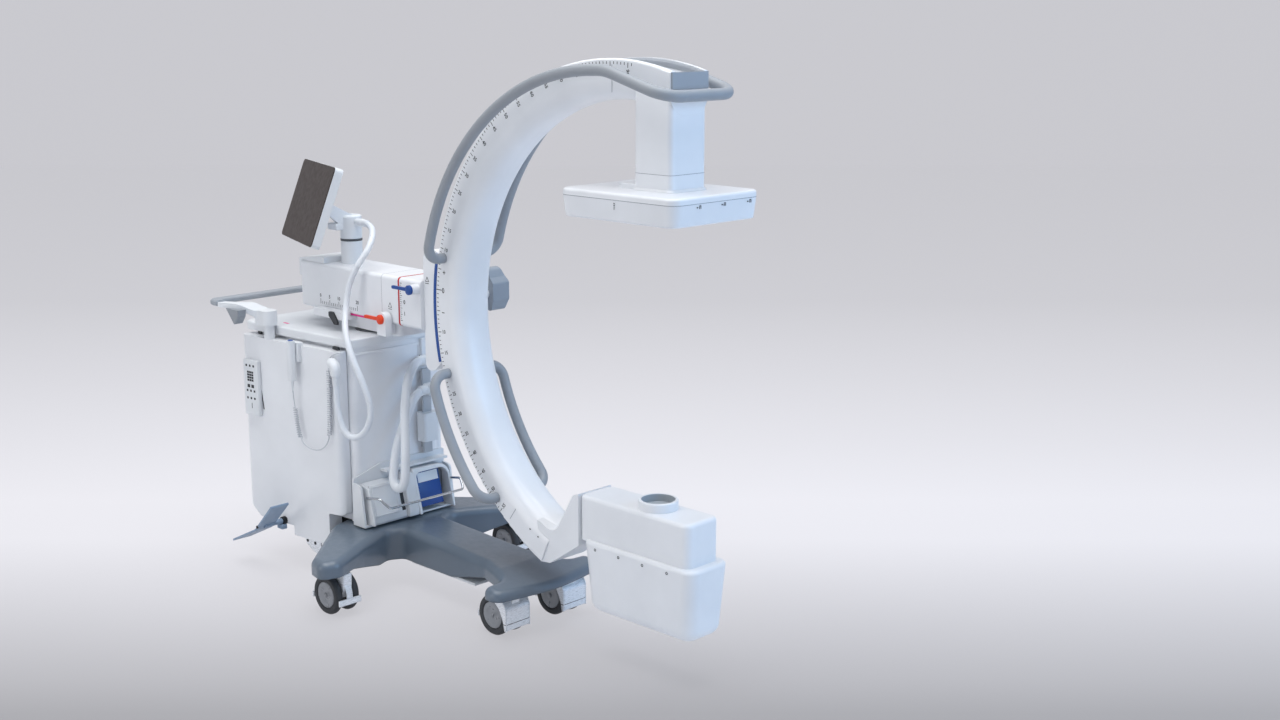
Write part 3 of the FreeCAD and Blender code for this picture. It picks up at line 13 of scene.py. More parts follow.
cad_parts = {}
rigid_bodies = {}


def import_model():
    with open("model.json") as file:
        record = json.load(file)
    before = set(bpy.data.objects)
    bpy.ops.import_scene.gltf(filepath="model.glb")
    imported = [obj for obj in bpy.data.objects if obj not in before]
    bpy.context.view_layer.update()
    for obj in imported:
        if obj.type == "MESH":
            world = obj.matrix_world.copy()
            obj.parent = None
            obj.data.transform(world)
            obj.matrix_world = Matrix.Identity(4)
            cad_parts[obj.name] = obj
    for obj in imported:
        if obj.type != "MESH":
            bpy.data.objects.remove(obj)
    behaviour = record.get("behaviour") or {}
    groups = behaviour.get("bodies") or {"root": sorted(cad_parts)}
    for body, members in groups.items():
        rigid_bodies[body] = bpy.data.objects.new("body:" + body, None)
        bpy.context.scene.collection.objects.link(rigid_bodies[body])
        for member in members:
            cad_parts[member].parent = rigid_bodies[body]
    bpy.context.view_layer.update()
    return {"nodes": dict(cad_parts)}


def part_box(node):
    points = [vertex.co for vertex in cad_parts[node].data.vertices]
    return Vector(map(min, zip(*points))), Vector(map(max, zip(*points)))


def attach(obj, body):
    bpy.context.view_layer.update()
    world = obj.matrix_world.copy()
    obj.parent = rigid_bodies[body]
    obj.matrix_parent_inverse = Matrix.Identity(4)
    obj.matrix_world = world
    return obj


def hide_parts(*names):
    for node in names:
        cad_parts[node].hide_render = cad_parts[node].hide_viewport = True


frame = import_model()

MM = 0.001
X, Y, Z = Vector((1, 0, 0)), Vector((0, 1, 0)), Vector((0, 0, 1))
BEAM_X = sum(corner.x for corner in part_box("detector_housing")) / 2
SIDES = (-1, 1)

# Arc with its running groove, boom and casters' wheels
ARC_CX, ARC_CZ, ARC_R, ARC_HALF_W = -103.0, 935.0, 760.0, 72.0
GROOVE_HALF_W, GROOVE_R0, GROOVE_R1 = 62.5, ARC_R - 24.0, ARC_R - 2.0
BOOM_HALF_W, BOOM_Z0, BOOM_Z1 = 80.0, 857.0, 1010.0
WHEEL_R = 62.5

# Printed marks: their thickness, and how far their middle stands off the surface
PRINT, PRINT_LIFT = 0.5, 0.1


def at(x, y, z):
    """Point in the frame's metres from part.py's millimetres."""
    return Vector((BEAM_X + x * MM, y * MM, z * MM))


def on_arc(r, deg, y):
    """Point of the C at radius r and angle deg from +X."""
    turn = math.radians(deg)
    return at(ARC_CX + r * math.cos(turn), y, ARC_CZ + r * math.sin(turn))


# Camera


def photo_camera():
    """Camera at the photograph's place, pitch and turn."""
    data = bpy.data.cameras.new("photo_camera")
    data.lens, data.sensor_width = 45.24, 36.0
    data.clip_start, data.clip_end = 0.1, 200.0
    camera = bpy.data.objects.new("photo_camera", data)
    camera.location = (3.680, -3.086, 1.821)
    camera.rotation_euler = (math.radians(90 - 12.32), 0.0, math.radians(44.09))
    bpy.context.scene.collection.objects.link(camera)
    bpy.context.scene.camera = camera


photo_camera()


# Node helpers for the finishes


def paint(r, g, b):
    """Screen colour in 0-255 as a linear colour."""
    return tuple(((c / 255 + 0.055) / 1.055) ** 2.4 for c in (r, g, b)) + (1.0,)


def node(tree, kind, inputs=None, **settings):
    made = tree.nodes.new("ShaderNode" + kind)
    for key, value in settings.items():
        setattr(made, key, value)
    for key, value in (inputs or {}).items():
        if isinstance(value, bpy.types.NodeSocket):
            tree.links.new(value, made.inputs[key])
        else:
            made.inputs[key].default_value = value
    return made


def new_finish(name, **sockets):
    material = bpy.data.materials.new(name)
    material.use_nodes = True
    shader = material.node_tree.nodes["Principled BSDF"]
    for key, value in sockets.items():
        shader.inputs[key.replace("_", " ")].default_value = value
    return material, material.node_tree, shader


def ramp(tree, factor, stops):
    made = node(tree, "ValToRGB", {"Fac": factor})
    points = made.color_ramp.elements
    while len(points) < len(stops):
        points.new(1.0)
    for point, (place, colour) in zip(points, stops):
        point.position, point.color = place, colour
    return made.outputs["Color"]


def shade(colour, factor):
    return tuple(min(1.0, c * factor) for c in colour[:3]) + (1.0,)


def noise(tree, place, scale, detail=3.0, stretch=None):
    if stretch:
        place = node(tree, "Mapping", {"Vector": place, "Scale": stretch}).outputs["Vector"]
    return node(tree, "TexNoise", {"Vector": place, "Scale": scale, "Detail": detail}).outputs["Fac"]


def coated(name, colour, rough, grain=1100.0, relief=0.06, drift=0.03, soften=1.2, stretch=None,
           zone=None, **sockets):
    """Painted, moulded or plated surface: slow drift of tone, uneven gloss, fine grain, eased edges."""
    material, tree, shader = new_finish(name, **sockets)
    place = node(tree, "TexCoord").outputs["Object"]
    cloud = noise(tree, place, 7.0)
    tone = ramp(tree, cloud, [(0.3, shade(colour, 1 - drift)), (0.7, shade(colour, 1 + drift))])
    if zone:
        tone = zoned(tree, place, tone, *zone)
    tree.links.new(tone, shader.inputs["Base Color"])
    gloss = node(tree, "MapRange", {"Value": noise(tree, place, 60.0, stretch=stretch), "From Min": 0.3,
                                    "From Max": 0.7, "To Min": rough - 0.05, "To Max": rough + 0.06})
    tree.links.new(gloss.outputs["Result"], shader.inputs["Roughness"])
    eased = node(tree, "Bevel", {"Radius": soften * MM}, samples=4)
    bump = node(tree, "Bump", {"Height": noise(tree, place, grain, 2.0, stretch), "Strength": relief,
                               "Distance": 0.0005, "Normal": eased.outputs["Normal"]})
    tree.links.new(bump.outputs["Normal"], shader.inputs["Normal"])
    return material


def zoned(tree, place, tone, axis, limit, colour):
    """Second colour past a limit in millimetres along one axis."""
    apart = node(tree, "SeparateXYZ", {"Vector": place})
    edge = at(limit, limit, limit)["XYZ".index(axis)]
    past = node(tree, "Math", {0: apart.outputs[axis], 1: edge}, operation="GREATER_THAN")
    mixed = node(tree, "Mix", {"Factor": past.outputs["Value"], 6: tone, 7: colour}, data_type="RGBA")
    return mixed.outputs[2]


WHITE, PALE = paint(231, 233, 237), paint(224, 227, 231)
GREY, BASE, BLUE = paint(147, 152, 159), paint(97, 110, 124), paint(14, 70, 146)
ORANGE, DARK = paint(228, 66, 20), paint(44, 46, 50)

SHELL = coated("shell_paint", WHITE, 0.34, Coat_Weight=0.25, Coat_Roughness=0.2)
PLASTIC = coated("white_plastic", PALE, 0.42, grain=1600.0, relief=0.12)
GRIP = coated("grey_grip", GREY, 0.5, grain=900.0, relief=0.2, drift=0.05)
BASE_PAINT = coated("base_paint", BASE, 0.36, grain=1200.0, relief=0.16, drift=0.06, soften=10.0,
                    Coat_Weight=0.35, Coat_Roughness=0.2)
HANDLE = coated("handle_grip", paint(158, 164, 172), 0.5, grain=900.0, relief=0.2, drift=0.05)
RAIL = coated("rail_paint", paint(178, 182, 188), 0.42, relief=0.1)
CAP = coated("cap_plastic", paint(160, 165, 173), 0.46, relief=0.14, soften=5.0)
STEEL = coated("dark_steel", DARK, 0.35, Metallic=0.7)
SILVER = coated("satin_silver", paint(236, 239, 244), 0.28, grain=1500.0, relief=0.015,
                stretch=(1.0, 1.0, 18.0), soften=7.0, Metallic=0.25)
COLUMN = coated("column_steel", paint(180, 184, 188), 0.22, grain=300.0, relief=0.05,
                stretch=(1.0, 1.0, 30.0), Metallic=0.95)
CHROME = coated("bail_chrome", paint(205, 208, 212), 0.14, soften=0.4, Metallic=1.0)
RUBBER = coated("tyre_rubber", paint(52, 54, 58), 0.62, grain=700.0, relief=0.35, drift=0.12)
# Hub grey: the hubs' own colour, and painted shade inside the foot switch's pocket
HUB_GREY_AND_POCKET_SHADE = coated("hub_plastic_and_pocket_shade", paint(142, 145, 150), 0.3, grain=1300.0, relief=0.12, Metallic=0.35)
GLASS = coated("screen_glass", paint(64, 56, 53), 0.42, relief=0.02, drift=0.05, soften=0.8,
               Specular_IOR_Level=0.22)
PEDAL = coated("pedal_paint", paint(134, 154, 178), 0.42, relief=0.18)
RING = coated("guide_ring", paint(74, 77, 82), 0.4)
CABLE = coated("cable_sheath", paint(221, 225, 231), 0.32, grain=1800.0, relief=0.08, soften=0.3)
# Handset cord painted greyer than the other cables: painted shade between its coils
LEAD_AND_COIL_SHADE = coated("lead_sheath_and_coil_shade", paint(200, 204, 210), 0.4, grain=1800.0, relief=0.08, soften=0.2)
BLUE_MARK = coated("blue_mark", BLUE, 0.38, drift=0.05, soften=0.3)
RED_MARK = coated("red_mark", paint(186, 22, 26), 0.38, drift=0.05, soften=0.3)
PINK_MARK = coated("pink_mark", paint(232, 44, 140), 0.38, drift=0.05, soften=0.3)
INK = coated("black_ink", paint(40, 42, 46), 0.5, drift=0.1, soften=0.1)
SEAM = coated("seam_shadow", paint(142, 147, 155), 0.7, drift=0.1, soften=0.1)
# Near black: own colour of buttons, screws, bolts and seam lines, and painted shade in slits and gaps
DARK_PARTS_AND_SHADE = coated("dark_parts_and_recess_shade", paint(48, 50, 54), 0.55, drift=0.1, soften=0.3)
PORT = coated("port_lining", paint(168, 174, 180), 0.45, drift=0.05)
BRAKES = coated("brake_lever_paint", DARK, 0.35, zone=("X", -1250.0, ORANGE))
TURN_LEVERS = coated("turn_lever_paint", BLUE, 0.36, zone=("Y", 0.0, paint(140, 148, 158)))
SWITCH_PEDALS = coated("switch_pedal_paint", PALE, 0.42, zone=("Y", 0.0, BLUE))

CAD_FINISH = {
    "base_casting": BASE_PAINT, "chassis": STEEL, "push_handle": HANDLE, "handle_gussets": GRIP,
    "brake_pedals": PEDAL, "column_ring": RING, "lift_column": COLUMN, "foot_switch": PLASTIC,
    "front_rail": RAIL, "grab_rails": GRIP, "arc_end_cap": CAP, "switch_handle": CHROME,
    "brake_levers": BRAKES, "c_levers": TURN_LEVERS, "switch_pedals": SWITCH_PEDALS,
    "monitor_screen": GLASS,
}
WHITE_PLASTIC_NODES = (
    "top_deck", "handle_brackets", "storage_tray", "rail_sleeve", "hose_clamp", "handset", "handset_holder",
    "remote_control", "cable_gland", "monitor_stem", "monitor_head", "monitor_shell", "boom_cowl",
)
CAD_FINISH.update(dict.fromkeys(WHITE_PLASTIC_NODES, PLASTIC))


def arc_finish():
    """Arc paint with the light grey of its running groove."""
    material = coated("arc_paint", WHITE, 0.34, Coat_Weight=0.25, Coat_Roughness=0.2)
    tree = material.node_tree
    shader = tree.nodes["Principled BSDF"]
    place = node(tree, "TexCoord").outputs["Object"]
    flat = node(tree, "VectorMath", {0: place, 1: (1, 0, 1)}, operation="MULTIPLY").outputs["Vector"]
    centre = at(ARC_CX, 0, ARC_CZ)
    reach = node(tree, "VectorMath", {0: flat, 1: centre}, operation="DISTANCE").outputs["Value"]
    across = node(tree, "SeparateXYZ", {"Vector": place}).outputs["Y"]
    across = node(tree, "Math", {0: across}, operation="ABSOLUTE").outputs[0]
    inside = node(tree, "Math", {0: across, 1: GROOVE_HALF_W * MM}, operation="LESS_THAN").outputs[0]
    deep = node(tree, "Math", {0: reach, 1: GROOVE_R0 * MM}, operation="GREATER_THAN").outputs[0]
    below = node(tree, "Math", {0: reach, 1: GROOVE_R1 * MM}, operation="LESS_THAN").outputs[0]
    groove = node(tree, "Math", {0: inside, 1: deep}, operation="MULTIPLY").outputs[0]
    groove = node(tree, "Math", {0: groove, 1: below}, operation="MULTIPLY").outputs[0]
    painted = shader.inputs["Base Color"].links[0].from_socket
    mixed = node(tree, "Mix", {"Factor": groove, 6: painted, 7: paint(196, 200, 206)}, data_type="RGBA")
    tree.links.new(mixed.outputs[2], shader.inputs["Base Color"])
    return material


CAD_FINISH["c_arc"] = arc_finish()


def finish_of(name):
    if name.startswith("caster_fork"):
        return SILVER
    if name.startswith("steer_fork"):
        return STEEL
    if "wheel" in name:
        return RUBBER
    return CAD_FINISH.get(name, SHELL)


def dress_cad_nodes():
    for name, obj in frame["nodes"].items():
        obj.data.materials.clear()
        obj.data.materials.append(finish_of(name))


dress_cad_nodes()


# Mesh helpers

SAME = 1e-7


def put(name, bm, body, finish, smooth=35.0):
    """Turn a bmesh into a piece that rides on a body."""
    bmesh.ops.recalc_face_normals(bm, faces=bm.faces)
    mesh = bpy.data.meshes.new(name)
    bm.to_mesh(mesh)
    bm.free()
    mesh.shade_smooth()
    mesh.set_sharp_from_angle(angle=math.radians(smooth))
    mesh.materials.append(finish)
    piece = bpy.data.objects.new(name, mesh)
    bpy.context.scene.collection.objects.link(piece)
    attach(piece, body)
    return piece


def facing(centre, right, up):
    """Matrix that lays a flat mark's right and up directions on a surface at centre."""
    right, up = right.normalized(), up.normalized()
    turn = Matrix((right, up, right.cross(up))).transposed()
    return Matrix.Translation(centre) @ turn.to_4x4()


def slab(bm, move, width, height, depth, round_by=0.0):
    """Box of a width, height and depth in millimetres, centred by the matrix. Gives its corners."""
    size = Matrix.Diagonal((width * MM, height * MM, depth * MM, 1.0))
    corners = bmesh.ops.create_cube(bm, size=1.0, matrix=move @ size)["verts"]
    if round_by:
        edges = list({e for v in corners for e in v.link_edges})
        bmesh.ops.bevel(bm, geom=edges, offset=round_by * MM, segments=2, affect="EDGES", profile=0.5,
                        material=-1)
    return corners


def block(bm, x0, x1, y0, y1, z0, z1, round_by=0.0):
    """Box between two corners in part.py's millimetres."""
    centre = at((x0 + x1) / 2, (y0 + y1) / 2, (z0 + z1) / 2)
    return slab(bm, Matrix.Translation(centre), x1 - x0, y1 - y0, z1 - z0, round_by)


def plate(bm, x0, x1, y0, y1, z0, z1, corner, axis=2):
    """Plate whose edges along one axis are rounded by the corner radius."""
    corners = block(bm, x0, x1, y0, y1, z0, z1)
    across = [i for i in range(3) if i != axis]
    edges = list({e for v in corners for e in v.link_edges
                  if all(abs(e.verts[0].co[i] - e.verts[1].co[i]) < SAME for i in across)})
    bmesh.ops.bevel(bm, geom=edges, offset=corner * MM, segments=8, affect="EDGES", profile=0.5,
                    material=-1)


def turned(bm, centre, axis, profile, steps=48):
    """Closed round piece turned about an axis from (radius, height) points, in millimetres."""
    move = Matrix.Translation(centre) @ axis.to_track_quat("Z", "Y").to_matrix().to_4x4()
    verts = [bm.verts.new(move @ Vector((r * MM, 0, h * MM))) for r, h in profile]
    edges = [bm.edges.new(pair) for pair in zip(verts, verts[1:])]
    bmesh.ops.spin(bm, geom=verts + edges, cent=centre, axis=axis, angle=2 * math.pi, steps=steps,
                   use_merge=True)
    bmesh.ops.remove_doubles(bm, verts=bm.verts, dist=SAME)


def prism(bm, outline, depth):
    """Solid pushed along a depth vector from a flat outline of points."""
    face = bm.faces.new([bm.verts.new(point) for point in outline])
    pushed = bmesh.ops.extrude_face_region(bm, geom=[face])["geom"]
    bmesh.ops.translate(bm, verts=[v for v in pushed if isinstance(v, bmesh.types.BMVert)], vec=depth)


def rounded(piece, width, segments=3):
    """Round a piece's sharp edges by a width in millimetres."""
    edges = piece.modifiers.new("soft_edges", "BEVEL")
    edges.width, edges.segments, edges.limit_method = width * MM, segments, "ANGLE"
    edges.angle_limit = math.radians(35.0)
    return piece


def lettering(bm, words, centre, right, up, height, depth=0.35):
    """Raised printed characters, height in millimetres."""
    curve = bpy.data.curves.new("characters", "FONT")
    curve.body, curve.size, curve.extrude = words, height * 1.35 * MM, depth / 2 * MM
    curve.align_x, curve.align_y, curve.resolution_u = "CENTER", "CENTER", 2
    curve.offset = height * 0.022 * MM
    maker = bpy.data.objects.new("characters", curve)
    mesh = bpy.data.meshes.new_from_object(maker)
    mesh.transform(facing(centre, right, up))
    bm.from_mesh(mesh)
    for used, store in ((maker, bpy.data.objects), (curve, bpy.data.curves), (mesh, bpy.data.meshes)):
        store.remove(used)


# Cords, with part.py's routes

MONITOR_CABLE_UPPER = [
    (-1322, 0, 1146), (-1278, 0, 1146), (-1230, -22, 1124), (-1196, -66, 1083), (-1202, -99, 1043),
    (-1206, -108, 1028),
]
MONITOR_CABLE_LOWER = [
    (-1206, -108, 1028), (-1212, -116, 1012), (-1230, -128, 962), (-1226, -145, 890), (-1176, -186, 836),
    (-1128, -200, 768), (-1090, -190, 692), (-1064, -178, 620), (-1066, -180, 562), (-1096, -192, 512),
    (-1140, -208, 500), (-1170, -218, 542), (-1180, -222, 602), (-1182, -222, 652), (-1182, -222, 700),
]
HOSE = [
    (-1144, 96, 704), (-1144, 70, 704), (-1120, 32, 694), (-1094, -10, 664), (-1072, -38, 608),
    (-1048, -62, 544), (-1026, -78, 484), (-1013, -90, 424), (-1011, -97, 354), (-1030, -99, 334),
    (-1058, -98, 334), (-1077, -94, 354), (-1084, -80, 408), (-1098, -56, 460), (-1112, -20, 506),
    (-1120, 8, 550), (-1123, 34, 588), (-1124, 60, 610), (-1124, 87, 610),
]
HANDSET_ROUTE = [
    (-1383, -250, 655), (-1385, -248, 612), (-1384, -244, 572), (-1370, -242, 476), (-1352, -240, 450),
    (-1312, -236, 436), (-1270, -232, 440), (-1238, -226, 464), (-1226, -222, 500), (-1223, -220, 700),
    (-1222, -219, 736), (-1208, -217, 762), (-1180, -200, 768),
]
CABLE_R, HOSE_R, THIN_R = 10.0, 14.5, 2.0

# Coils of the handset's cord: from and to which height each runs, and whether it falls or rises
CURLS = ((566.0, 468.0, -1.0), (496.0, 708.0, 1.0))
CURL_R, CURL_PITCH, CURL_STEEPNESS = 6.2, 7.2, 0.6
POINTS_PER_TURN, PLAIN_STEP = 12, 9.0


def nurbs(name, points, radius, resolution=8):
    """Smooth line of control points in metres, with a round section of a radius in millimetres."""
    curve = bpy.data.curves.new(name, "CURVE")
    curve.dimensions, curve.use_fill_caps = "3D", True
    curve.bevel_depth, curve.bevel_resolution, curve.resolution_u = radius * MM, 5, resolution
    spline = curve.splines.new("NURBS")
    spline.points.add(len(points) - 1)
    for control, point in zip(spline.points, points):
        control.co = (*point, 1.0)
    spline.order_u = 3
    spline.use_endpoint_u = True
    cord = bpy.data.objects.new(name, curve)
    bpy.context.scene.collection.objects.link(cord)
    return cord


def line_of(points):
    """Points along the smooth line of a route."""
    maker = nurbs("route", points, 0.0, 16)
    mesh = bpy.data.meshes.new_from_object(maker)
    line = [v.co.copy() for v in mesh.vertices]
    curve = maker.data
    bpy.data.objects.remove(maker)
    bpy.data.curves.remove(curve)
    bpy.data.meshes.remove(mesh)
    return line


def line_length(points):
    return sum((b - a).length for a, b in zip(points, points[1:]))


def plain_cord(name, route, radius, body, node_name):
    points = [at(*place) for place in route]
    cord = nurbs(name, points, radius)
    cord.data.materials.append(CABLE)
    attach(cord, body)
    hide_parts(node_name)
    line_length(line_of(points))


def curled(z, way):
    """Whether the handset's cord is coiled at a height, where it runs in a direction."""
    rising = 1.0 if way.z > 0 else -1.0
    return abs(way.z) > CURL_STEEPNESS and any(
        min(start, stop) < z / MM < max(start, stop) and rising == course for start, stop, course in CURLS)


def handset_points():
    """The cord's control points: plain where it hangs free, a helix in the two coiled stretches."""
    line = line_of([at(*place) for place in HANDSET_ROUTE])
    step = CURL_PITCH * MM / POINTS_PER_TURN
    points, turn, travelled, plain_every = [line[0]], 0.0, 0.0, 0.0
    for a, b in zip(line, line[1:]):
        way = (b - a).normalized()
        side = way.cross(Y).normalized()
        while travelled < (b - a).length:
            spot = a + way * travelled
            travelled += step
            if curled(spot.z, way):
                turn += 2 * math.pi / POINTS_PER_TURN
                reach = side * math.cos(turn) + way.cross(side) * math.sin(turn)
                points.append(spot + reach * CURL_R * MM)
                plain_every = 0.0
            else:
                plain_every += step
                if plain_every > PLAIN_STEP * MM:
                    points.append(spot)
                    plain_every = 0.0
        travelled -= (b - a).length
    points.append(line[-1])
    return points


def handset_cord():
    points = handset_points()
    cord = nurbs("handset_lead", points, THIN_R, 2)
    cord.data.bevel_resolution = 1
    # Greyer sheath: painted shade between the coils
    cord.data.materials.append(LEAD_AND_COIL_SHADE)
    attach(cord, "cart")
    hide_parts("handset_cord", "handset_curls")
    line_length(line_of(points))


plain_cord("monitor_cable_top", MONITOR_CABLE_UPPER, CABLE_R, "monitor_arm", "monitor_cable_upper")
plain_cord("monitor_cable_loop", MONITOR_CABLE_LOWER, CABLE_R, "cart", "monitor_cable_lower")
plain_cord("supply_hose_loop", HOSE, HOSE_R, "cart", "supply_hose")
handset_cord()


def sleeve(bm, place, along, radius, reach):
    """Tapered strain relief from a place in part.py's millimetres, round a cord of a radius."""
    thick = radius + 3.5
    profile = [(0.0, 0.0), (thick, 0.0), (thick, 0.2 * reach), (thick - 1.4, 0.24 * reach),
               (radius + 1.2, 0.9 * reach), (radius + 0.3, reach), (0.0, reach)]
    turned(bm, at(*place), along, profile, 32)


def cord_sleeves():
    bm = bmesh.new()
    sleeve(bm, MONITOR_CABLE_UPPER[0], X, CABLE_R, 34.0)
    put("cable_relief_top", bm, "monitor_arm", PLASTIC)
    bm = bmesh.new()
    sleeve(bm, MONITOR_CABLE_LOWER[-1], -Z, CABLE_R, 34.0)
    sleeve(bm, HOSE[0], -Y, HOSE_R, 26.0)
    sleeve(bm, HOSE[-1], -Y, HOSE_R, 26.0)
    put("cord_reliefs", bm, "cart", PLASTIC)


def cable_elbow():
    """Elbow from the side panel's front edge down to the monitor cable's end."""
    bm = bmesh.new()
    x, y, z = MONITOR_CABLE_LOWER[-1]
    bend = at(x, y, z + 13.0)
    ring = bmesh.ops.create_circle(bm, cap_ends=True, segments=32, radius=17.0 * MM,
                                   matrix=Matrix.Translation(bend))["verts"]
    foot = bmesh.ops.extrude_face_region(bm, geom=bm.faces[:])["geom"]
    bmesh.ops.translate(bm, verts=[v for v in foot if isinstance(v, bmesh.types.BMVert)], vec=-Z * 14 * MM)
    edges = [e for e in bm.edges if all(abs(v.co.z - bend.z) < SAME for v in e.verts)]
    bmesh.ops.spin(bm, geom=ring + edges, cent=bend - X * 22 * MM, axis=-Y,
                   angle=math.radians(90.0), steps=12, use_merge=False)
    piece = put("cable_elbow", bm, "cart", PLASTIC, 50.0)
    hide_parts("cable_gland")


cord_sleeves()
cable_elbow()


# Marks of the arc

# Angle of the scale's zero from +X
SCALE_ZERO = 175.5
# Joint lines: angle, inner and outer radius. End marks: x, z, width and height
ARC_JOINTS = ((90.0, 672.0, 744.0), (233.8, 692.0, 738.0))
END_MARKS = ((46.0, 1628.0, 9.0, 5.0), (-450.0, 328.0, 6.0, 3.0), (-416.0, 312.0, 6.0, 3.0))


def arc_marks():
    """Degree ticks and numbers on both sides of the arc."""
    ticks, numbers = bmesh.new(), bmesh.new()
    for side in SIDES:
        face = side * (ARC_HALF_W + PRINT_LIFT)
        for step in range(-91, 56):
            long = step % 5 == 0
            reach, deg = 13.0 if long else 7.0, SCALE_ZERO + step
            spot = on_arc(ARC_R - 8.0 - reach / 2, deg, face)
            inward = at(ARC_CX, face, ARC_CZ) - spot
            up = inward.cross(Y)
            slab(ticks, facing(spot, inward, up), reach, 2.0, PRINT)
            if long and abs(step) >= 10:
                spot = on_arc(ARC_R - 33.0, deg, face)
                lettering(numbers, str(abs(step)), spot, inward * -side, up, 12.0)
        for words, step in (("+", -4.4), ("0", 0.0), ("−", 5.4)):
            spot = on_arc(ARC_R - 36.0, SCALE_ZERO + step, face)
            lettering(numbers, words, spot, X * -side, Z, 17.0)
        slab(ticks, facing(on_arc(ARC_R - 17.0, SCALE_ZERO, face), X, Z), 24.0, 2.4, PRINT)
    put("arc_ticks", ticks, "c_arm", INK)
    put("arc_numbers", numbers, "c_arm", INK)


def blue_strip():
    """Blue reading edge on the carriage's sides, beside the arc's scale."""
    bm = bmesh.new()
    section = ((1.0, 65.5), (13.0, 65.5), (13.0, 69.5), (1.0, 69.5))
    for side in SIDES:
        face = bm.faces.new([bm.verts.new(on_arc(ARC_R + r, 167.5, side * y)) for r, y in section])
        bmesh.ops.spin(bm, geom=[face], cent=at(ARC_CX, 0, ARC_CZ), axis=-Y, angle=math.radians(25.0),
                       steps=40, use_merge=False)
    put("blue_reading_edge", bm, "rotor", BLUE_MARK)


def arc_seams():
    """Joint lines across the arc's ends, and the small dark marks beside them."""
    seams, marks = bmesh.new(), bmesh.new()
    for side in SIDES:
        face = side * (ARC_HALF_W + PRINT_LIFT)
        for deg, r0, r1 in ARC_JOINTS:
            spot = on_arc((r0 + r1) / 2, deg, face)
            inward = at(ARC_CX, face, ARC_CZ) - spot
            slab(seams, facing(spot, inward, inward.cross(Y)), r1 - r0, 1.6, PRINT)
        for x, z, wide, tall in END_MARKS:
            slab(marks, facing(at(x, face, z), X, Z), wide, tall, PRINT)
    put("arc_seams", seams, "c_arm", SEAM)
    put("arc_end_marks", marks, "c_arm", INK)


arc_marks()
blue_strip()
arc_seams()


# Marks of the boom and the head that turns on it

RING_X = -1036.0
SEAM_X = -1121.0
RULER_X0, RULER_Z0, RULER_STEP = -1451.0, 876.0, 10.0


def band_round_boom(bm, x0, x1, proud):
    """Thin band round the boom's section."""
    half = BOOM_HALF_W + proud
    plate(bm, x0, x1, -half, half, BOOM_Z0 - proud, BOOM_Z1 + proud, 12.0, axis=0)


def boom_marks():
    """Red ring at the turning joint, seam, slide ruler, turning scale and pink strip."""
    bm = bmesh.new()
    band_round_boom(bm, RING_X, RING_X + 6.5, 0.6)
    put("turning_zero_ring", bm, "rotor", RED_MARK)
    bm = bmesh.new()
    band_round_boom(bm, SEAM_X, SEAM_X + 1.2, 0.15)
    put("boom_seam", bm, "boom", SEAM)
    ruler, turn_marks = bmesh.new(), bmesh.new()
    for side in SIDES:
        face = side * (BOOM_HALF_W + PRINT_LIFT)
        for cm in range(21):
            tall = 17.0 if cm % 5 == 0 else 9.0
            x = RULER_X0 + cm * RULER_STEP
            slab(ruler, facing(at(x, face, RULER_Z0 + tall / 2), X, Z), 1.6, tall, PRINT)
            if cm % 5 == 0:
                lettering(ruler, str(cm), at(x, face, 903.0), X * -side, Z, 12.0)
        for i in range(-9, 10):
            wide = 9.0 if i % 3 == 0 else 5.0
            spot = at(RING_X + 10.0 + wide / 2, face, ARC_CZ + i * 6.5)
            slab(turn_marks, facing(spot, X, Z), wide, 1.6, PRINT)
        lettering(turn_marks, "0", at(RING_X + 30.0, face, ARC_CZ), X * -side, Z, 14.0)
        lettering(turn_marks, "1", at(RING_X + 30.0, face, 899.0), X * -side, Z, 13.0)
    put("boom_ruler", ruler, "boom", INK)
    put("turning_marks", turn_marks, "rotor", INK)
    bm = bmesh.new()
    slab(bm, facing(at(-1221.0, -BOOM_HALF_W - 0.4, 861.5), X, Z), 156.0, 6.0, 1.2, 0.4)
    put("pink_slide_strip", bm, "boom", PINK_MARK)


def guide_signs():
    """Plain underlined triangles beside the levers."""
    signs = (("slide_sign", "boom", -1079.0, -BOOM_HALF_W - 0.15, 914.0),
             ("turn_sign", "rotor", -908.0, -66.3, 1013.0))
    for name, body, x, y, z in signs:
        bm = bmesh.new()
        corners = [at(x - 8, y, z - 3), at(x + 8, y, z - 3), at(x, y, z + 11)]
        for a, b in zip(corners, corners[1:] + corners[:1]):
            along = b - a
            slab(bm, facing((a + b) / 2, along, Y.cross(along)), along.length / MM + 1.2, 1.6, PRINT)
        slab(bm, facing(at(x, y, z - 9), X, Z), 17.0, 1.8, PRINT)
        put(name, bm, body, INK)


def lever_caps():
    """Round caps on the lever hubs."""
    cap = [(0.0, 2.6), (8.0, 2.4), (11.5, 1.4), (12.5, 0.0), (12.5, -1.0), (0.0, -1.0)]
    bm = bmesh.new()
    turned(bm, at(-1091.0, -115.0, 874.0), -Y, cap, 32)
    put("brake_lever_cap", bm, "wigwag", BRAKES)
    bm = bmesh.new()
    turned(bm, at(-941.0, -115.0, 985.0), -Y, cap, 32)
    put("turn_lever_cap", bm, "rotor", TURN_LEVERS)


boom_marks()
guide_signs()
lever_caps()


# Detector and tank


TANK_SCREW = [(0.0, 0.4), (2.2, 0.4), (2.6, 1.4), (3.6, 1.6), (4.2, 0.8), (4.2, -2.0), (0.0, -2.0)]
TANK_SCREW_X, TANK_SCREW_STEP, TANK_SCREW_Y, TANK_SCREW_Z = -169.0, 92.0, 79.7, 333.0


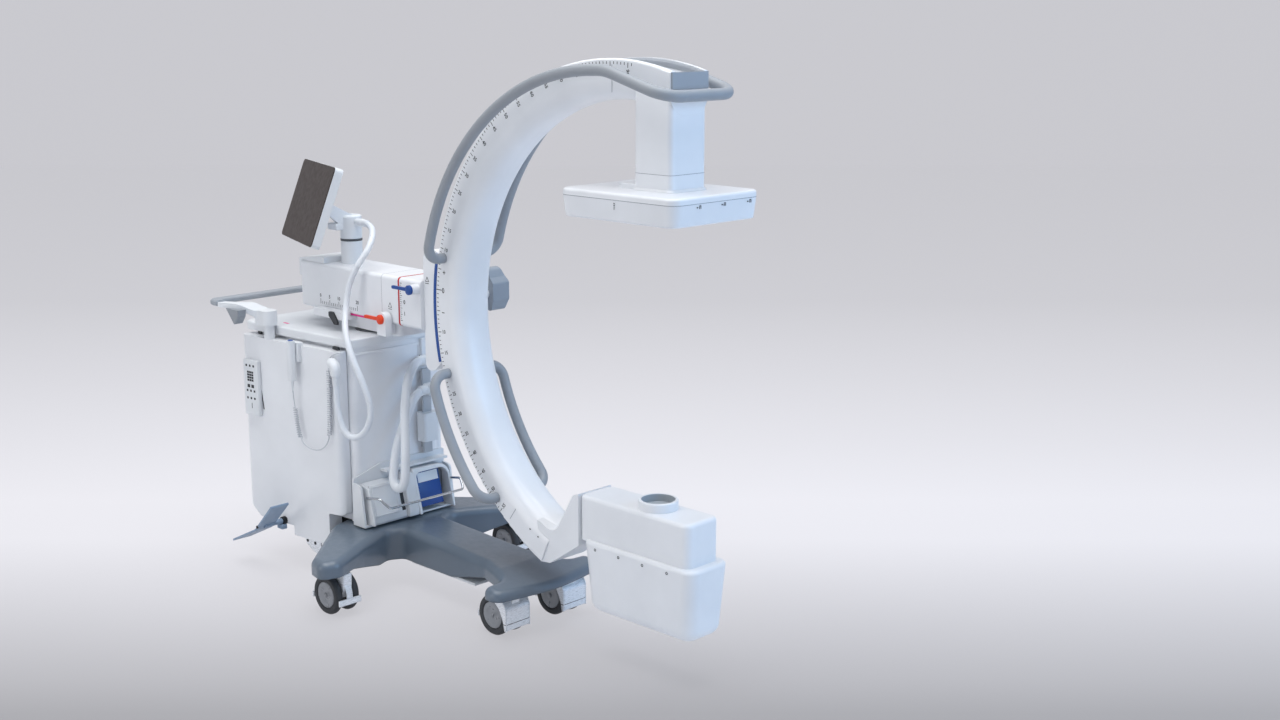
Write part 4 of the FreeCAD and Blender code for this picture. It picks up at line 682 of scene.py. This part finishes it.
def detector_details():
    """Seams of the housing and its column, and small printed signs on the housing's sides."""
    bm = bmesh.new()
    plate(bm, -211.2, 211.2, -169.2, 169.2, 1339.4, 1340.8, 34.0)
    plate(bm, -29.3, 106.3, -69.3, 69.3, 1401.4, 1402.6, 16.0)
    put("detector_seams", bm, "c_arm", SEAM)
    bm = bmesh.new()
    for y in (-76.0, 18.0, 119.0):
        lay = facing(at(211.05, y, 1331.0), Y, Z)
        for dy, width, height in ((-6.0, 5.0, 3.0), (2.0, 1.6, 8.0), (7.0, 1.6, 8.0)):
            slab(bm, lay @ Matrix.Translation(Vector((dy * MM, 0, 0))), width, height, PRINT)
        slab(bm, lay @ Matrix.Translation(Vector((4.5 * MM, 4 * MM, 0))), 6.0, 1.4, PRINT)
    for side in SIDES:
        lay = facing(at(0.0, side * 168.9, 1326.0), X * -side, Z)
        for dz, width, height in ((6.0, 5.0, 2.0), (1.0, 5.0, 2.0), (-6.0, 1.6, 9.0)):
            slab(bm, lay @ Matrix.Translation(Vector((0, dz * MM, 0))), width, height, PRINT)
    put("detector_signs", bm, "c_arm", INK)


def tank_details():
    """Lining of the round port, and four screws on each side of the tank."""
    bm = bmesh.new()
    lining = [(0.0, -21.8), (47.6, -21.8), (47.6, -1.0), (46.4, -1.0), (46.4, -20.4), (0.0, -20.4)]
    turned(bm, at(0, 0, 502.0), Z, lining, 64)
    put("port_lining", bm, "c_arm", PORT)
    bm = bmesh.new()
    for side in SIDES:
        for i in range(4):
            spot = at(TANK_SCREW_X + TANK_SCREW_STEP * i, side * TANK_SCREW_Y, TANK_SCREW_Z)
            turned(bm, spot, Y * side, TANK_SCREW, 24)
    put("tank_screws", bm, "c_arm", INK)


detector_details()
tank_details()


# Casters and steered wheels

CASTERS = {
    "rear_right": (-992.0, -362.0), "rear_left": (-992.0, 362.0),
    "front_right": (-497.0, -116.0), "front_left": (-497.0, 116.0),
}
TRAIL, HALF_TRACK, WHEEL_W = 32.0, 30.0, 25.0
STEER_X, STEER_Y, STEER_HALF_W = -1330.0, 110.0, 17.0
HUB_FACE = [(0.0, 5.6), (5.0, 5.6), (6.5, 4.6), (7.5, 1.6), (22.0, 1.0), (25.0, 2.6), (36.0, 3.2),
            (40.0, 2.0), (41.0, 0.6), (41.0, -1.0), (0.0, -1.0)]
HOOD_FRONT, HOOD_SEAM_Z, CHEEK_INNER_Y, CHEEK_W = 69.0, 50.0, 43.8, 4.2
CHEEK = [(8, 60), (43, 63), (60, 50), (HOOD_FRONT, 34), (HOOD_FRONT, -34), (60, -34), (55, -8), (48, 10),
         (36, 32), (22, 43), (8, 48)]


def hub_faces(name, body, x, y, outer):
    """Discs in the dished sides of the wheels, with the axle's end."""
    bm = bmesh.new()
    for side in SIDES:
        turned(bm, at(x, y + side * (outer - 4.0), WHEEL_R), Y * side, HUB_FACE)
    put(name, bm, body, HUB_GREY_AND_POCKET_SHADE)


def wheels():
    for name, (x, y) in CASTERS.items():
        hub_faces("hub_faces_" + name, "wheels_" + name, x - TRAIL, y, HALF_TRACK + WHEEL_W / 2)
    for name, y in (("right", -STEER_Y), ("left", STEER_Y)):
        hub_faces("steer_hub_" + name, "steer_wheel_" + name, STEER_X, y, STEER_HALF_W)


def hood_details():
    """Side cheeks of the front casters' hoods, and the seam across each hood's front."""
    for name in ("front_right", "front_left"):
        x, y = CASTERS[name]
        bm, seam = bmesh.new(), bmesh.new()
        for side in SIDES:
            inner = y + side * CHEEK_INNER_Y
            outline = [at(x - TRAIL + dx, inner, WHEEL_R + dz) for dx, dz in CHEEK]
            prism(bm, outline, Y * side * CHEEK_W * MM)
        rounded(put("hood_cheeks_" + name, bm, "swivel_" + name, SILVER), 1.6, 2)
        slab(seam, facing(at(x - TRAIL + HOOD_FRONT, y, HOOD_SEAM_Z), Y, Z), 87.0, 1.8, PRINT)
        for side in SIDES:
            spot = at(x - TRAIL + HOOD_FRONT - 6.5, y + side * (CHEEK_INNER_Y + CHEEK_W), HOOD_SEAM_Z)
            slab(seam, facing(spot, X, Z), 12.5, 1.8, PRINT)
        put("hood_seams_" + name, seam, "swivel_" + name, DARK_PARTS_AND_SHADE)


def brake_tabs():
    """Foot tabs of the rear casters' brakes."""
    for name in ("rear_right", "rear_left"):
        x, y = CASTERS[name]
        bm = bmesh.new()
        block(bm, x - TRAIL - 76.0, x - TRAIL - 58.0, y - 13.0, y + 13.0, 86.0, 92.0, 2.0)
        put("brake_tab_" + name, bm, "swivel_" + name, STEEL)


wheels()
hood_details()
brake_tabs()


# Cart

BOLT = [(0.0, 3.0), (3.6, 2.8), (5.2, 2.0), (5.6, 0.0), (5.6, -1.0), (0.0, -1.0)]
COVER_SCREW = [(0.0, 0.2), (1.6, 0.2), (2.2, 1.2), (3.6, 1.2), (4.2, 0.4), (4.2, -1.0), (0.0, -1.0)]
HANDSET_BUTTON = [(0.0, 0.4), (5.2, 0.4), (6.4, 1.6), (8.0, 1.6), (8.6, 0.4), (8.6, -1.0), (0.0, -1.0)]
HANDSET_RELIEF = [(0.0, 0.0), (5.4, 0.0), (5.2, 8.0), (3.4, 30.0), (2.4, 34.0), (0.0, 34.0)]
PEDAL_COLLAR = [(0.0, 14.0), (12.0, 14.0), (13.5, 12.0), (13.5, -1.0), (0.0, -1.0)]
PEDAL_X, PEDAL_Z, PEDAL_END_Y = -1486.0, 160.0, 342.0
COVER_X, HANDSET_X, HANDSET_Y = -1164.8, -1383.0, -250.0
DEFLECTOR_Y, DEFLECTOR_W = 199.0, 5.0
DEFLECTOR = [(-1425, 119), (-1330, 119), (-1330, 62), (-1372, 70), (-1410, 90)]

# Outer face of the flared side panels: its ends along x, its place at the front, and its flare
PANEL_REAR, PANEL_FRONT, PANEL_HALF_W, PANEL_FLARE = -1680.0, -1194.0, 208.0, 44.0


def panel_y(x):
    """Outer face of the right side panel at x."""
    return -(PANEL_HALF_W + (PANEL_FRONT - x) * PANEL_FLARE / (PANEL_FRONT - PANEL_REAR))


def on_panel(x, z, out=0.0, up=Z):
    """Matrix on the right side panel: along it to the front, up it, and out of it."""
    along = at(PANEL_FRONT, panel_y(PANEL_FRONT), 0) - at(PANEL_REAR, panel_y(PANEL_REAR), 0)
    return facing(at(x, panel_y(x) - out, z), along, up)


def panel_details():
    """Painted shade in the side panel's slits and in two recesses under the deck's edge, and the deck's
    mark.
    """
    bm = bmesh.new()
    # Dark strips: painted shade inside the panel's slits
    slab(bm, on_panel(-1573.0, 564.0, up=Z - X * 0.17), 4.5, 76.0, 1.4, 0.5)
    slab(bm, on_panel(-1428.0, 740.0), 5.0, 16.0, 1.4, 0.5)
    put("panel_slit_shade", bm, "cart", DARK_PARTS_AND_SHADE)
    bm = bmesh.new()
    # Dark blocks: painted shade of two recesses in the gap under the deck's edge
    block(bm, -1624.0, -1604.0, -215.0, -209.0, 770.0, 779.0, 1.0)
    block(bm, -1240.0, -1212.0, -190.0, -181.0, 770.0, 779.0, 1.0)
    put("deck_gap_recess_shade", bm, "cart", DARK_PARTS_AND_SHADE)
    bm = bmesh.new()
    slab(bm, facing(at(-1544.0, -156.0, 808.2), X, Y), 26.0, 9.0, 0.6, 0.2)
    put("deck_mark", bm, "cart", PINK_MARK)


def remote():
    """Flat hand control on the side panel: shell, rows of buttons and a thin mark."""
    flat = on_panel(-1609.0, 596.0, 8.0)
    bm = bmesh.new()
    slab(bm, flat, 74.0, 188.0, 17.0)
    piece = rounded(put("remote_shell", bm, "cart", PLASTIC), 5.0, 4)
    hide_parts("remote_control")
    bm = bmesh.new()
    wide_row, middle_row, pair = (-18.0, 0.0, 18.0), (-11.0, 0.0, 11.0), (-10.0, 10.0)
    keys = [(over, up, 7.5, 7.5) for up in (75.0, -10.0, -35.0) for over in wide_row]
    keys += [(over, 53.0 - row * 9.0, 9.0, 7.0) for row in range(4) for over in middle_row]
    keys += [(over, 6.0, 13.0, 11.0) for over in pair]
    for over, up, width, height in keys:
        slab(bm, flat @ Matrix.Translation(Vector((over, up, 8.8)) * MM), width, height, 1.6, 0.7)
    slab(bm, flat @ Matrix.Translation(Vector((2.0, -60.0, 8.7)) * MM), 2.4, 18.0, 1.0, 0.4)
    put("remote_buttons", bm, "cart", DARK_PARTS_AND_SHADE)


def handset_details():
    """Round button on the handset's top, and its cord's strain relief."""
    bm = bmesh.new()
    turned(bm, at(HANDSET_X, HANDSET_Y, 786.0), Z, HANDSET_BUTTON, 32)
    put("handset_button", bm, "cart", BLUE_MARK)
    bm = bmesh.new()
    turned(bm, at(HANDSET_X, HANDSET_Y, 656.0), -Z, HANDSET_RELIEF, 24)
    put("handset_relief", bm, "cart", PLASTIC)


def cabinet_front():
    """Edge strip of the front cover, with its screw."""
    bm = bmesh.new()
    slab(bm, facing(at(COVER_X, -34.0, 757.0), Y, Z), 262.0, 9.0, 3.0, 1.0)
    slab(bm, facing(at(COVER_X, 97.0, 728.0), Y, Z), 14.0, 66.0, 3.6, 1.2)
    put("front_cover_strip", bm, "cart", SHELL)
    bm = bmesh.new()
    turned(bm, at(-1163.0, 98.0, 716.0), X, COVER_SCREW, 24)
    put("front_cover_screw", bm, "cart", DARK_PARTS_AND_SHADE)


def wheel_deflectors():
    """Plates that hang from the skirts in front of the steered wheels, each with two bolts."""
    plates, bolts = bmesh.new(), bmesh.new()
    for side in SIDES:
        prism(plates, [at(x, side * DEFLECTOR_Y, z) for x, z in DEFLECTOR], Y * side * DEFLECTOR_W * MM)
        for x in (-1404.0, -1362.0):
            turned(bolts, at(x, side * (DEFLECTOR_Y + DEFLECTOR_W - 0.5), 101.0), Y * side, BOLT, 20)
    put("wheel_deflectors", plates, "cart", SILVER)
    put("deflector_bolts", bolts, "cart", DARK_PARTS_AND_SHADE)


def pedal_details():
    """Collar, bracket and end bolt of each brake pedal's shaft."""
    collars, brackets = bmesh.new(), bmesh.new()
    for side in SIDES:
        face = -side * panel_y(PEDAL_X)
        turned(collars, at(PEDAL_X, face, PEDAL_Z), Y * side, PEDAL_COLLAR, 32)
        turned(collars, at(PEDAL_X, side * PEDAL_END_Y, PEDAL_Z), Y * side, BOLT, 20)
        y0, y1 = sorted((face + side * 2.0, face + side * 22.0))
        block(brackets, -1502.0, -1472.0, y0, y1, 134.0, 150.0, 2.0)
    put("pedal_collars", collars, "cart", STEEL)
    put("pedal_brackets", brackets, "cart", PEDAL)


def base_under_cover():
    """White cover under the spine of the base."""
    bm = bmesh.new()
    block(bm, -1010.0, -700.0, -78.0, 78.0, 88.0, 97.0, 2.0)
    put("base_under_cover", bm, "cart", PLASTIC)


panel_details()
wheel_deflectors()
pedal_details()
base_under_cover()
remote()
handset_details()
cabinet_front()


# Foot switch

SWITCH_X, SWITCH_X0, SWITCH_Z0 = -1096.0, -1157.5, 212.0
SWITCH_Y0, SWITCH_Y1, HOOD_Y0 = -168.0, 160.0, 14.0
SWITCH_FOOT, SWITCH_LEAN = 20.0, 26.0
SWITCH_TILT = math.atan2(SWITCH_LEAN, 98.0)


def on_pedal(out, y, up):
    """Matrix on the sloping pedals: out of the face, across, and up it, in millimetres."""
    foot = Matrix.Translation(at(SWITCH_X, 0, SWITCH_Z0 + SWITCH_FOOT))
    pivot = foot @ Matrix.Rotation(-SWITCH_TILT, 4, "Y")
    return pivot @ Matrix.Translation(Vector((out, y, up)) * MM) @ facing(Vector(), Y, Z)


def sloped(bm, front, top, y0, y1):
    """Side profile of the foot switch, leaning back, pushed from y0 to y1."""
    nose = SWITCH_X + front
    outline = [(SWITCH_X0, SWITCH_Z0), (nose, SWITCH_Z0), (nose, SWITCH_Z0 + SWITCH_FOOT),
               (nose - SWITCH_LEAN, SWITCH_Z0 + top - 10), (SWITCH_X0, SWITCH_Z0 + top)]
    prism(bm, [at(x, y0, z) for x, z in outline], Y * (y1 - y0) * MM)


def switch_body():
    """Body with its near cheek and the rib beside the hood, and painted shade in its two slots."""
    bm = bmesh.new()
    sloped(bm, 0.0, 128.0, SWITCH_Y0 + 10, HOOD_Y0)
    sloped(bm, 15.0, 128.0, SWITCH_Y0, SWITCH_Y0 + 8)
    sloped(bm, 14.0, 146.0, -26.0, HOOD_Y0)
    piece = rounded(put("switch_body", bm, "cart", PLASTIC), 3.0)
    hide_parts("foot_switch")
    bm = bmesh.new()
    # Dark strips: painted shade in the slots beside the rib and the near cheek
    slab(bm, on_pedal(0.2, -37.0, 44.0), 13.0, 80.0, 1.0, 0.3)
    slab(bm, on_pedal(0.2, SWITCH_Y0 + 8.6, 48.0), 2.6, 100.0, 1.0, 0.3)
    put("switch_slot_shade", bm, "cart", DARK_PARTS_AND_SHADE)


def switch_hood():
    """Arched hood of the blue pedal, cut off along the slope, and grey painted shade in its pocket."""
    bm = bmesh.new()
    outer = [(HOOD_Y0, 0), (HOOD_Y0, 146), (126, 143), (142, 138), (154, 127), (SWITCH_Y1, 112),
             (SWITCH_Y1, 0)]
    inner = [(SWITCH_Y1 - 8, 0), (SWITCH_Y1 - 8, 108), (146, 120), (136, 128), (124, 131), (38, 131),
             (29, 128), (25, 119), (25, 0)]
    arch = [at(SWITCH_X0, y, SWITCH_Z0 + z) for y, z in outer + inner]
    prism(bm, arch, X * 96 * MM)
    slope = Vector((math.cos(SWITCH_TILT), 0, math.sin(SWITCH_TILT)))
    cut = bmesh.ops.bisect_plane(bm, geom=bm.verts[:] + bm.edges[:] + bm.faces[:], plane_no=slope,
                                 plane_co=at(SWITCH_X + 15, 0, SWITCH_Z0 + SWITCH_FOOT),
                                 clear_outer=True)["geom_cut"]
    bmesh.ops.edgenet_fill(bm, edges=[e for e in cut if isinstance(e, bmesh.types.BMEdge)])
    rounded(put("switch_hood", bm, "cart", PLASTIC), 2.6)
    # Grey block in the hood and strip at the pocket's near wall: painted shade of the pocket
    bm = bmesh.new()
    block(bm, SWITCH_X0, SWITCH_X - 40.0, 24.0, 153.0, SWITCH_Z0, SWITCH_Z0 + 132.0)
    slab(bm, on_pedal(-14.0, 27.2, 52.0), 4.0, 104.0, 24.0, 0.5)
    put("hood_pocket_shade", bm, "cart", HUB_GREY_AND_POCKET_SHADE)


def switch_fronts():
    """Raised edge of the near pedal, and the blue pedal's face with its blank label."""
    bm = bmesh.new()
    for up in (8.0, 100.0):
        slab(bm, on_pedal(10.8, -108.0, up), 92.0, 3.4, 2.4, 0.8)
    for y in (-152.5, -63.5):
        slab(bm, on_pedal(10.8, y, 54.0), 3.4, 95.0, 2.4, 0.8)
    put("near_pedal_edge", bm, "cart", PLASTIC)
    bm = bmesh.new()
    slab(bm, on_pedal(-7.0, 80.0, 54.0), 98.0, 116.0, 6.0, 1.5)
    put("blue_pedal_face", bm, "cart", BLUE_MARK)
    bm = bmesh.new()
    slab(bm, on_pedal(-3.6, 82.0, 92.0), 82.0, 32.0, 1.2, 0.4)
    put("switch_label", bm, "cart", SHELL)


switch_body()
switch_hood()
switch_fronts()


# Monitor

STEM_RING = [(0.0, 0.0), (35.4, 0.0), (35.6, 1.0), (35.6, 6.5), (35.4, 7.5), (0.0, 7.5)]


def stem_ring():
    """Dark ring round the monitor's stem."""
    bm = bmesh.new()
    turned(bm, at(-1380.0, 0, 1084.0), Z, STEM_RING, 64)
    put("stem_seam_ring", bm, "boom", RING)


def monitor_grip_block():
    """Grip block beside the tilting head."""
    bm = bmesh.new()
    block(bm, -1424.0, -1374.0, -62.0, -34.0, 1121.0, 1143.0, 4.0)
    put("monitor_grip_block", bm, "monitor_arm", PLASTIC)


stem_ring()
monitor_grip_block()


# Stage and light

# Camera's direction along the floor, distances along it in metres, and the studio's tone at each
FORWARD = Vector((-0.696, 0.718, 0.0))
TONES_FROM, TONES_TO = 3.2, 16.0
STUDIO_TONES = [(3.2, 0.60), (3.7, 0.40), (3.95, 0.423), (4.17, 0.509), (4.46, 0.597), (4.79, 0.694),
                (5.17, 0.80), (5.38, 0.85), (5.85, 0.87), (6.72, 0.82), (7.87, 0.77), (10.1, 0.70),
                (16.0, 0.69)]
REAL_LIGHT_SHARE = 0.2
STUDIO_HALF_SIZE, WALL_BEHIND = 30.0, 3.0


def stage_finish(name):
    """Backdrop paint: its own tone for the camera and in mirrors, and a share of real light and shade."""
    material = bpy.data.materials.new(name)
    material.use_nodes = True
    tree = material.node_tree
    tree.nodes.clear()
    place = node(tree, "TexCoord").outputs["Object"]
    away = Vector(bpy.context.scene.camera.location)
    from_camera = node(tree, "VectorMath", {0: place, 1: away}, operation="SUBTRACT").outputs["Vector"]
    depth = node(tree, "VectorMath", {0: from_camera, 1: FORWARD}, operation="DOT_PRODUCT").outputs["Value"]
    factor = node(tree, "MapRange", {"Value": depth, "From Min": TONES_FROM,
                                      "From Max": TONES_TO}).outputs["Result"]
    stops = [((far - TONES_FROM) / (TONES_TO - TONES_FROM), (t * 0.985, t * 0.978, t * 1.03, 1.0))
             for far, t in STUDIO_TONES]
    tone = ramp(tree, factor, stops)
    glow = node(tree, "Emission", {"Color": tone, "Strength": 1.0 - REAL_LIGHT_SHARE})
    lit = node(tree, "BsdfDiffuse", {"Color": tone})
    dark = node(tree, "BsdfDiffuse", {"Color": (0, 0, 0, 1)})
    lit = node(tree, "MixShader", {"Fac": REAL_LIGHT_SHARE, 1: dark.outputs[0], 2: lit.outputs[0]})
    shown = node(tree, "AddShader", {0: glow.outputs[0], 1: lit.outputs[0]})
    plain = node(tree, "BsdfDiffuse", {"Color": (0.72, 0.72, 0.74, 1)})
    path = node(tree, "LightPath")
    seen = node(tree, "Math", {0: path.outputs["Is Camera Ray"], 1: path.outputs["Is Glossy Ray"]},
                operation="MAXIMUM")
    seen = node(tree, "Math", {0: seen.outputs[0], 1: path.outputs["Is Transmission Ray"]},
                operation="MAXIMUM")
    mixed = node(tree, "MixShader", {"Fac": seen.outputs[0], 1: plain.outputs[0], 2: shown.outputs[0]})
    node(tree, "OutputMaterial", {"Surface": mixed.outputs[0]})
    return material


def backdrop(name, lay):
    """Flat sheet of the studio, laid by a matrix."""
    bm = bmesh.new()
    bmesh.ops.create_grid(bm, x_segments=1, y_segments=1, size=STUDIO_HALF_SIZE, matrix=lay)
    mesh = bpy.data.meshes.new(name)
    bm.to_mesh(mesh)
    bm.free()
    mesh.materials.append(stage_finish(name))
    sheet = bpy.data.objects.new(name, mesh)
    bpy.context.scene.collection.objects.link(sheet)


def stage():
    """Floor at height zero, and a wall across the camera's view behind the tones' end."""
    below_camera = Vector(bpy.context.scene.camera.location) * Vector((1, 1, 0))
    foot = below_camera + FORWARD * (TONES_TO + WALL_BEHIND)
    backdrop("studio_floor", Matrix.Identity(4))
    backdrop("studio_wall", facing(foot, FORWARD.cross(Z), Z))


def world():
    """Even pale surroundings: one tone for the camera, and a faint bluish ambient light."""
    surroundings = bpy.data.worlds.new("studio")
    bpy.context.scene.world = surroundings
    surroundings.use_nodes = True
    tree = surroundings.node_tree
    tree.nodes.clear()
    path = node(tree, "LightPath")
    seen = node(tree, "Math", {0: path.outputs["Is Camera Ray"], 1: path.outputs["Is Transmission Ray"]},
                operation="MAXIMUM")
    ambient = node(tree, "Background", {"Color": (0.80, 0.86, 0.95, 1), "Strength": 0.42})
    shown = node(tree, "Background", {"Color": (0.585, 0.582, 0.612, 1), "Strength": 1.0})
    mixed = node(tree, "MixShader", {"Fac": seen.outputs[0], 1: ambient.outputs[0], 2: shown.outputs[0]})
    node(tree, "OutputWorld", {"Surface": mixed.outputs[0]})


def lamp(name, place, target, size, power, colour):
    data = bpy.data.lights.new(name, "AREA")
    data.shape, data.size, data.energy, data.color = "SQUARE", size, power, colour
    light = bpy.data.objects.new(name, data)
    light.location = place
    light.rotation_euler = (Vector(target) - Vector(place)).to_track_quat("-Z", "Y").to_euler()
    bpy.context.scene.collection.objects.link(light)


def lamps():
    lamp("top_softbox", (0.2, -0.3, 5.2), (0, 0, 0.9), 4.6, 244.0, (1.0, 0.995, 0.985))
    lamp("near_fill", (-1.2, -5.0, 1.9), (0, 0, 0.9), 3.4, 54.0, (1.0, 0.985, 0.965))
    lamp("blue_fill", (4.8, 1.5, 2.1), (0, 0, 0.9), 3.0, 94.0, (0.36, 0.64, 1.0))


stage()
world()
lamps()

bpy.context.scene.view_settings.view_transform = "Standard"
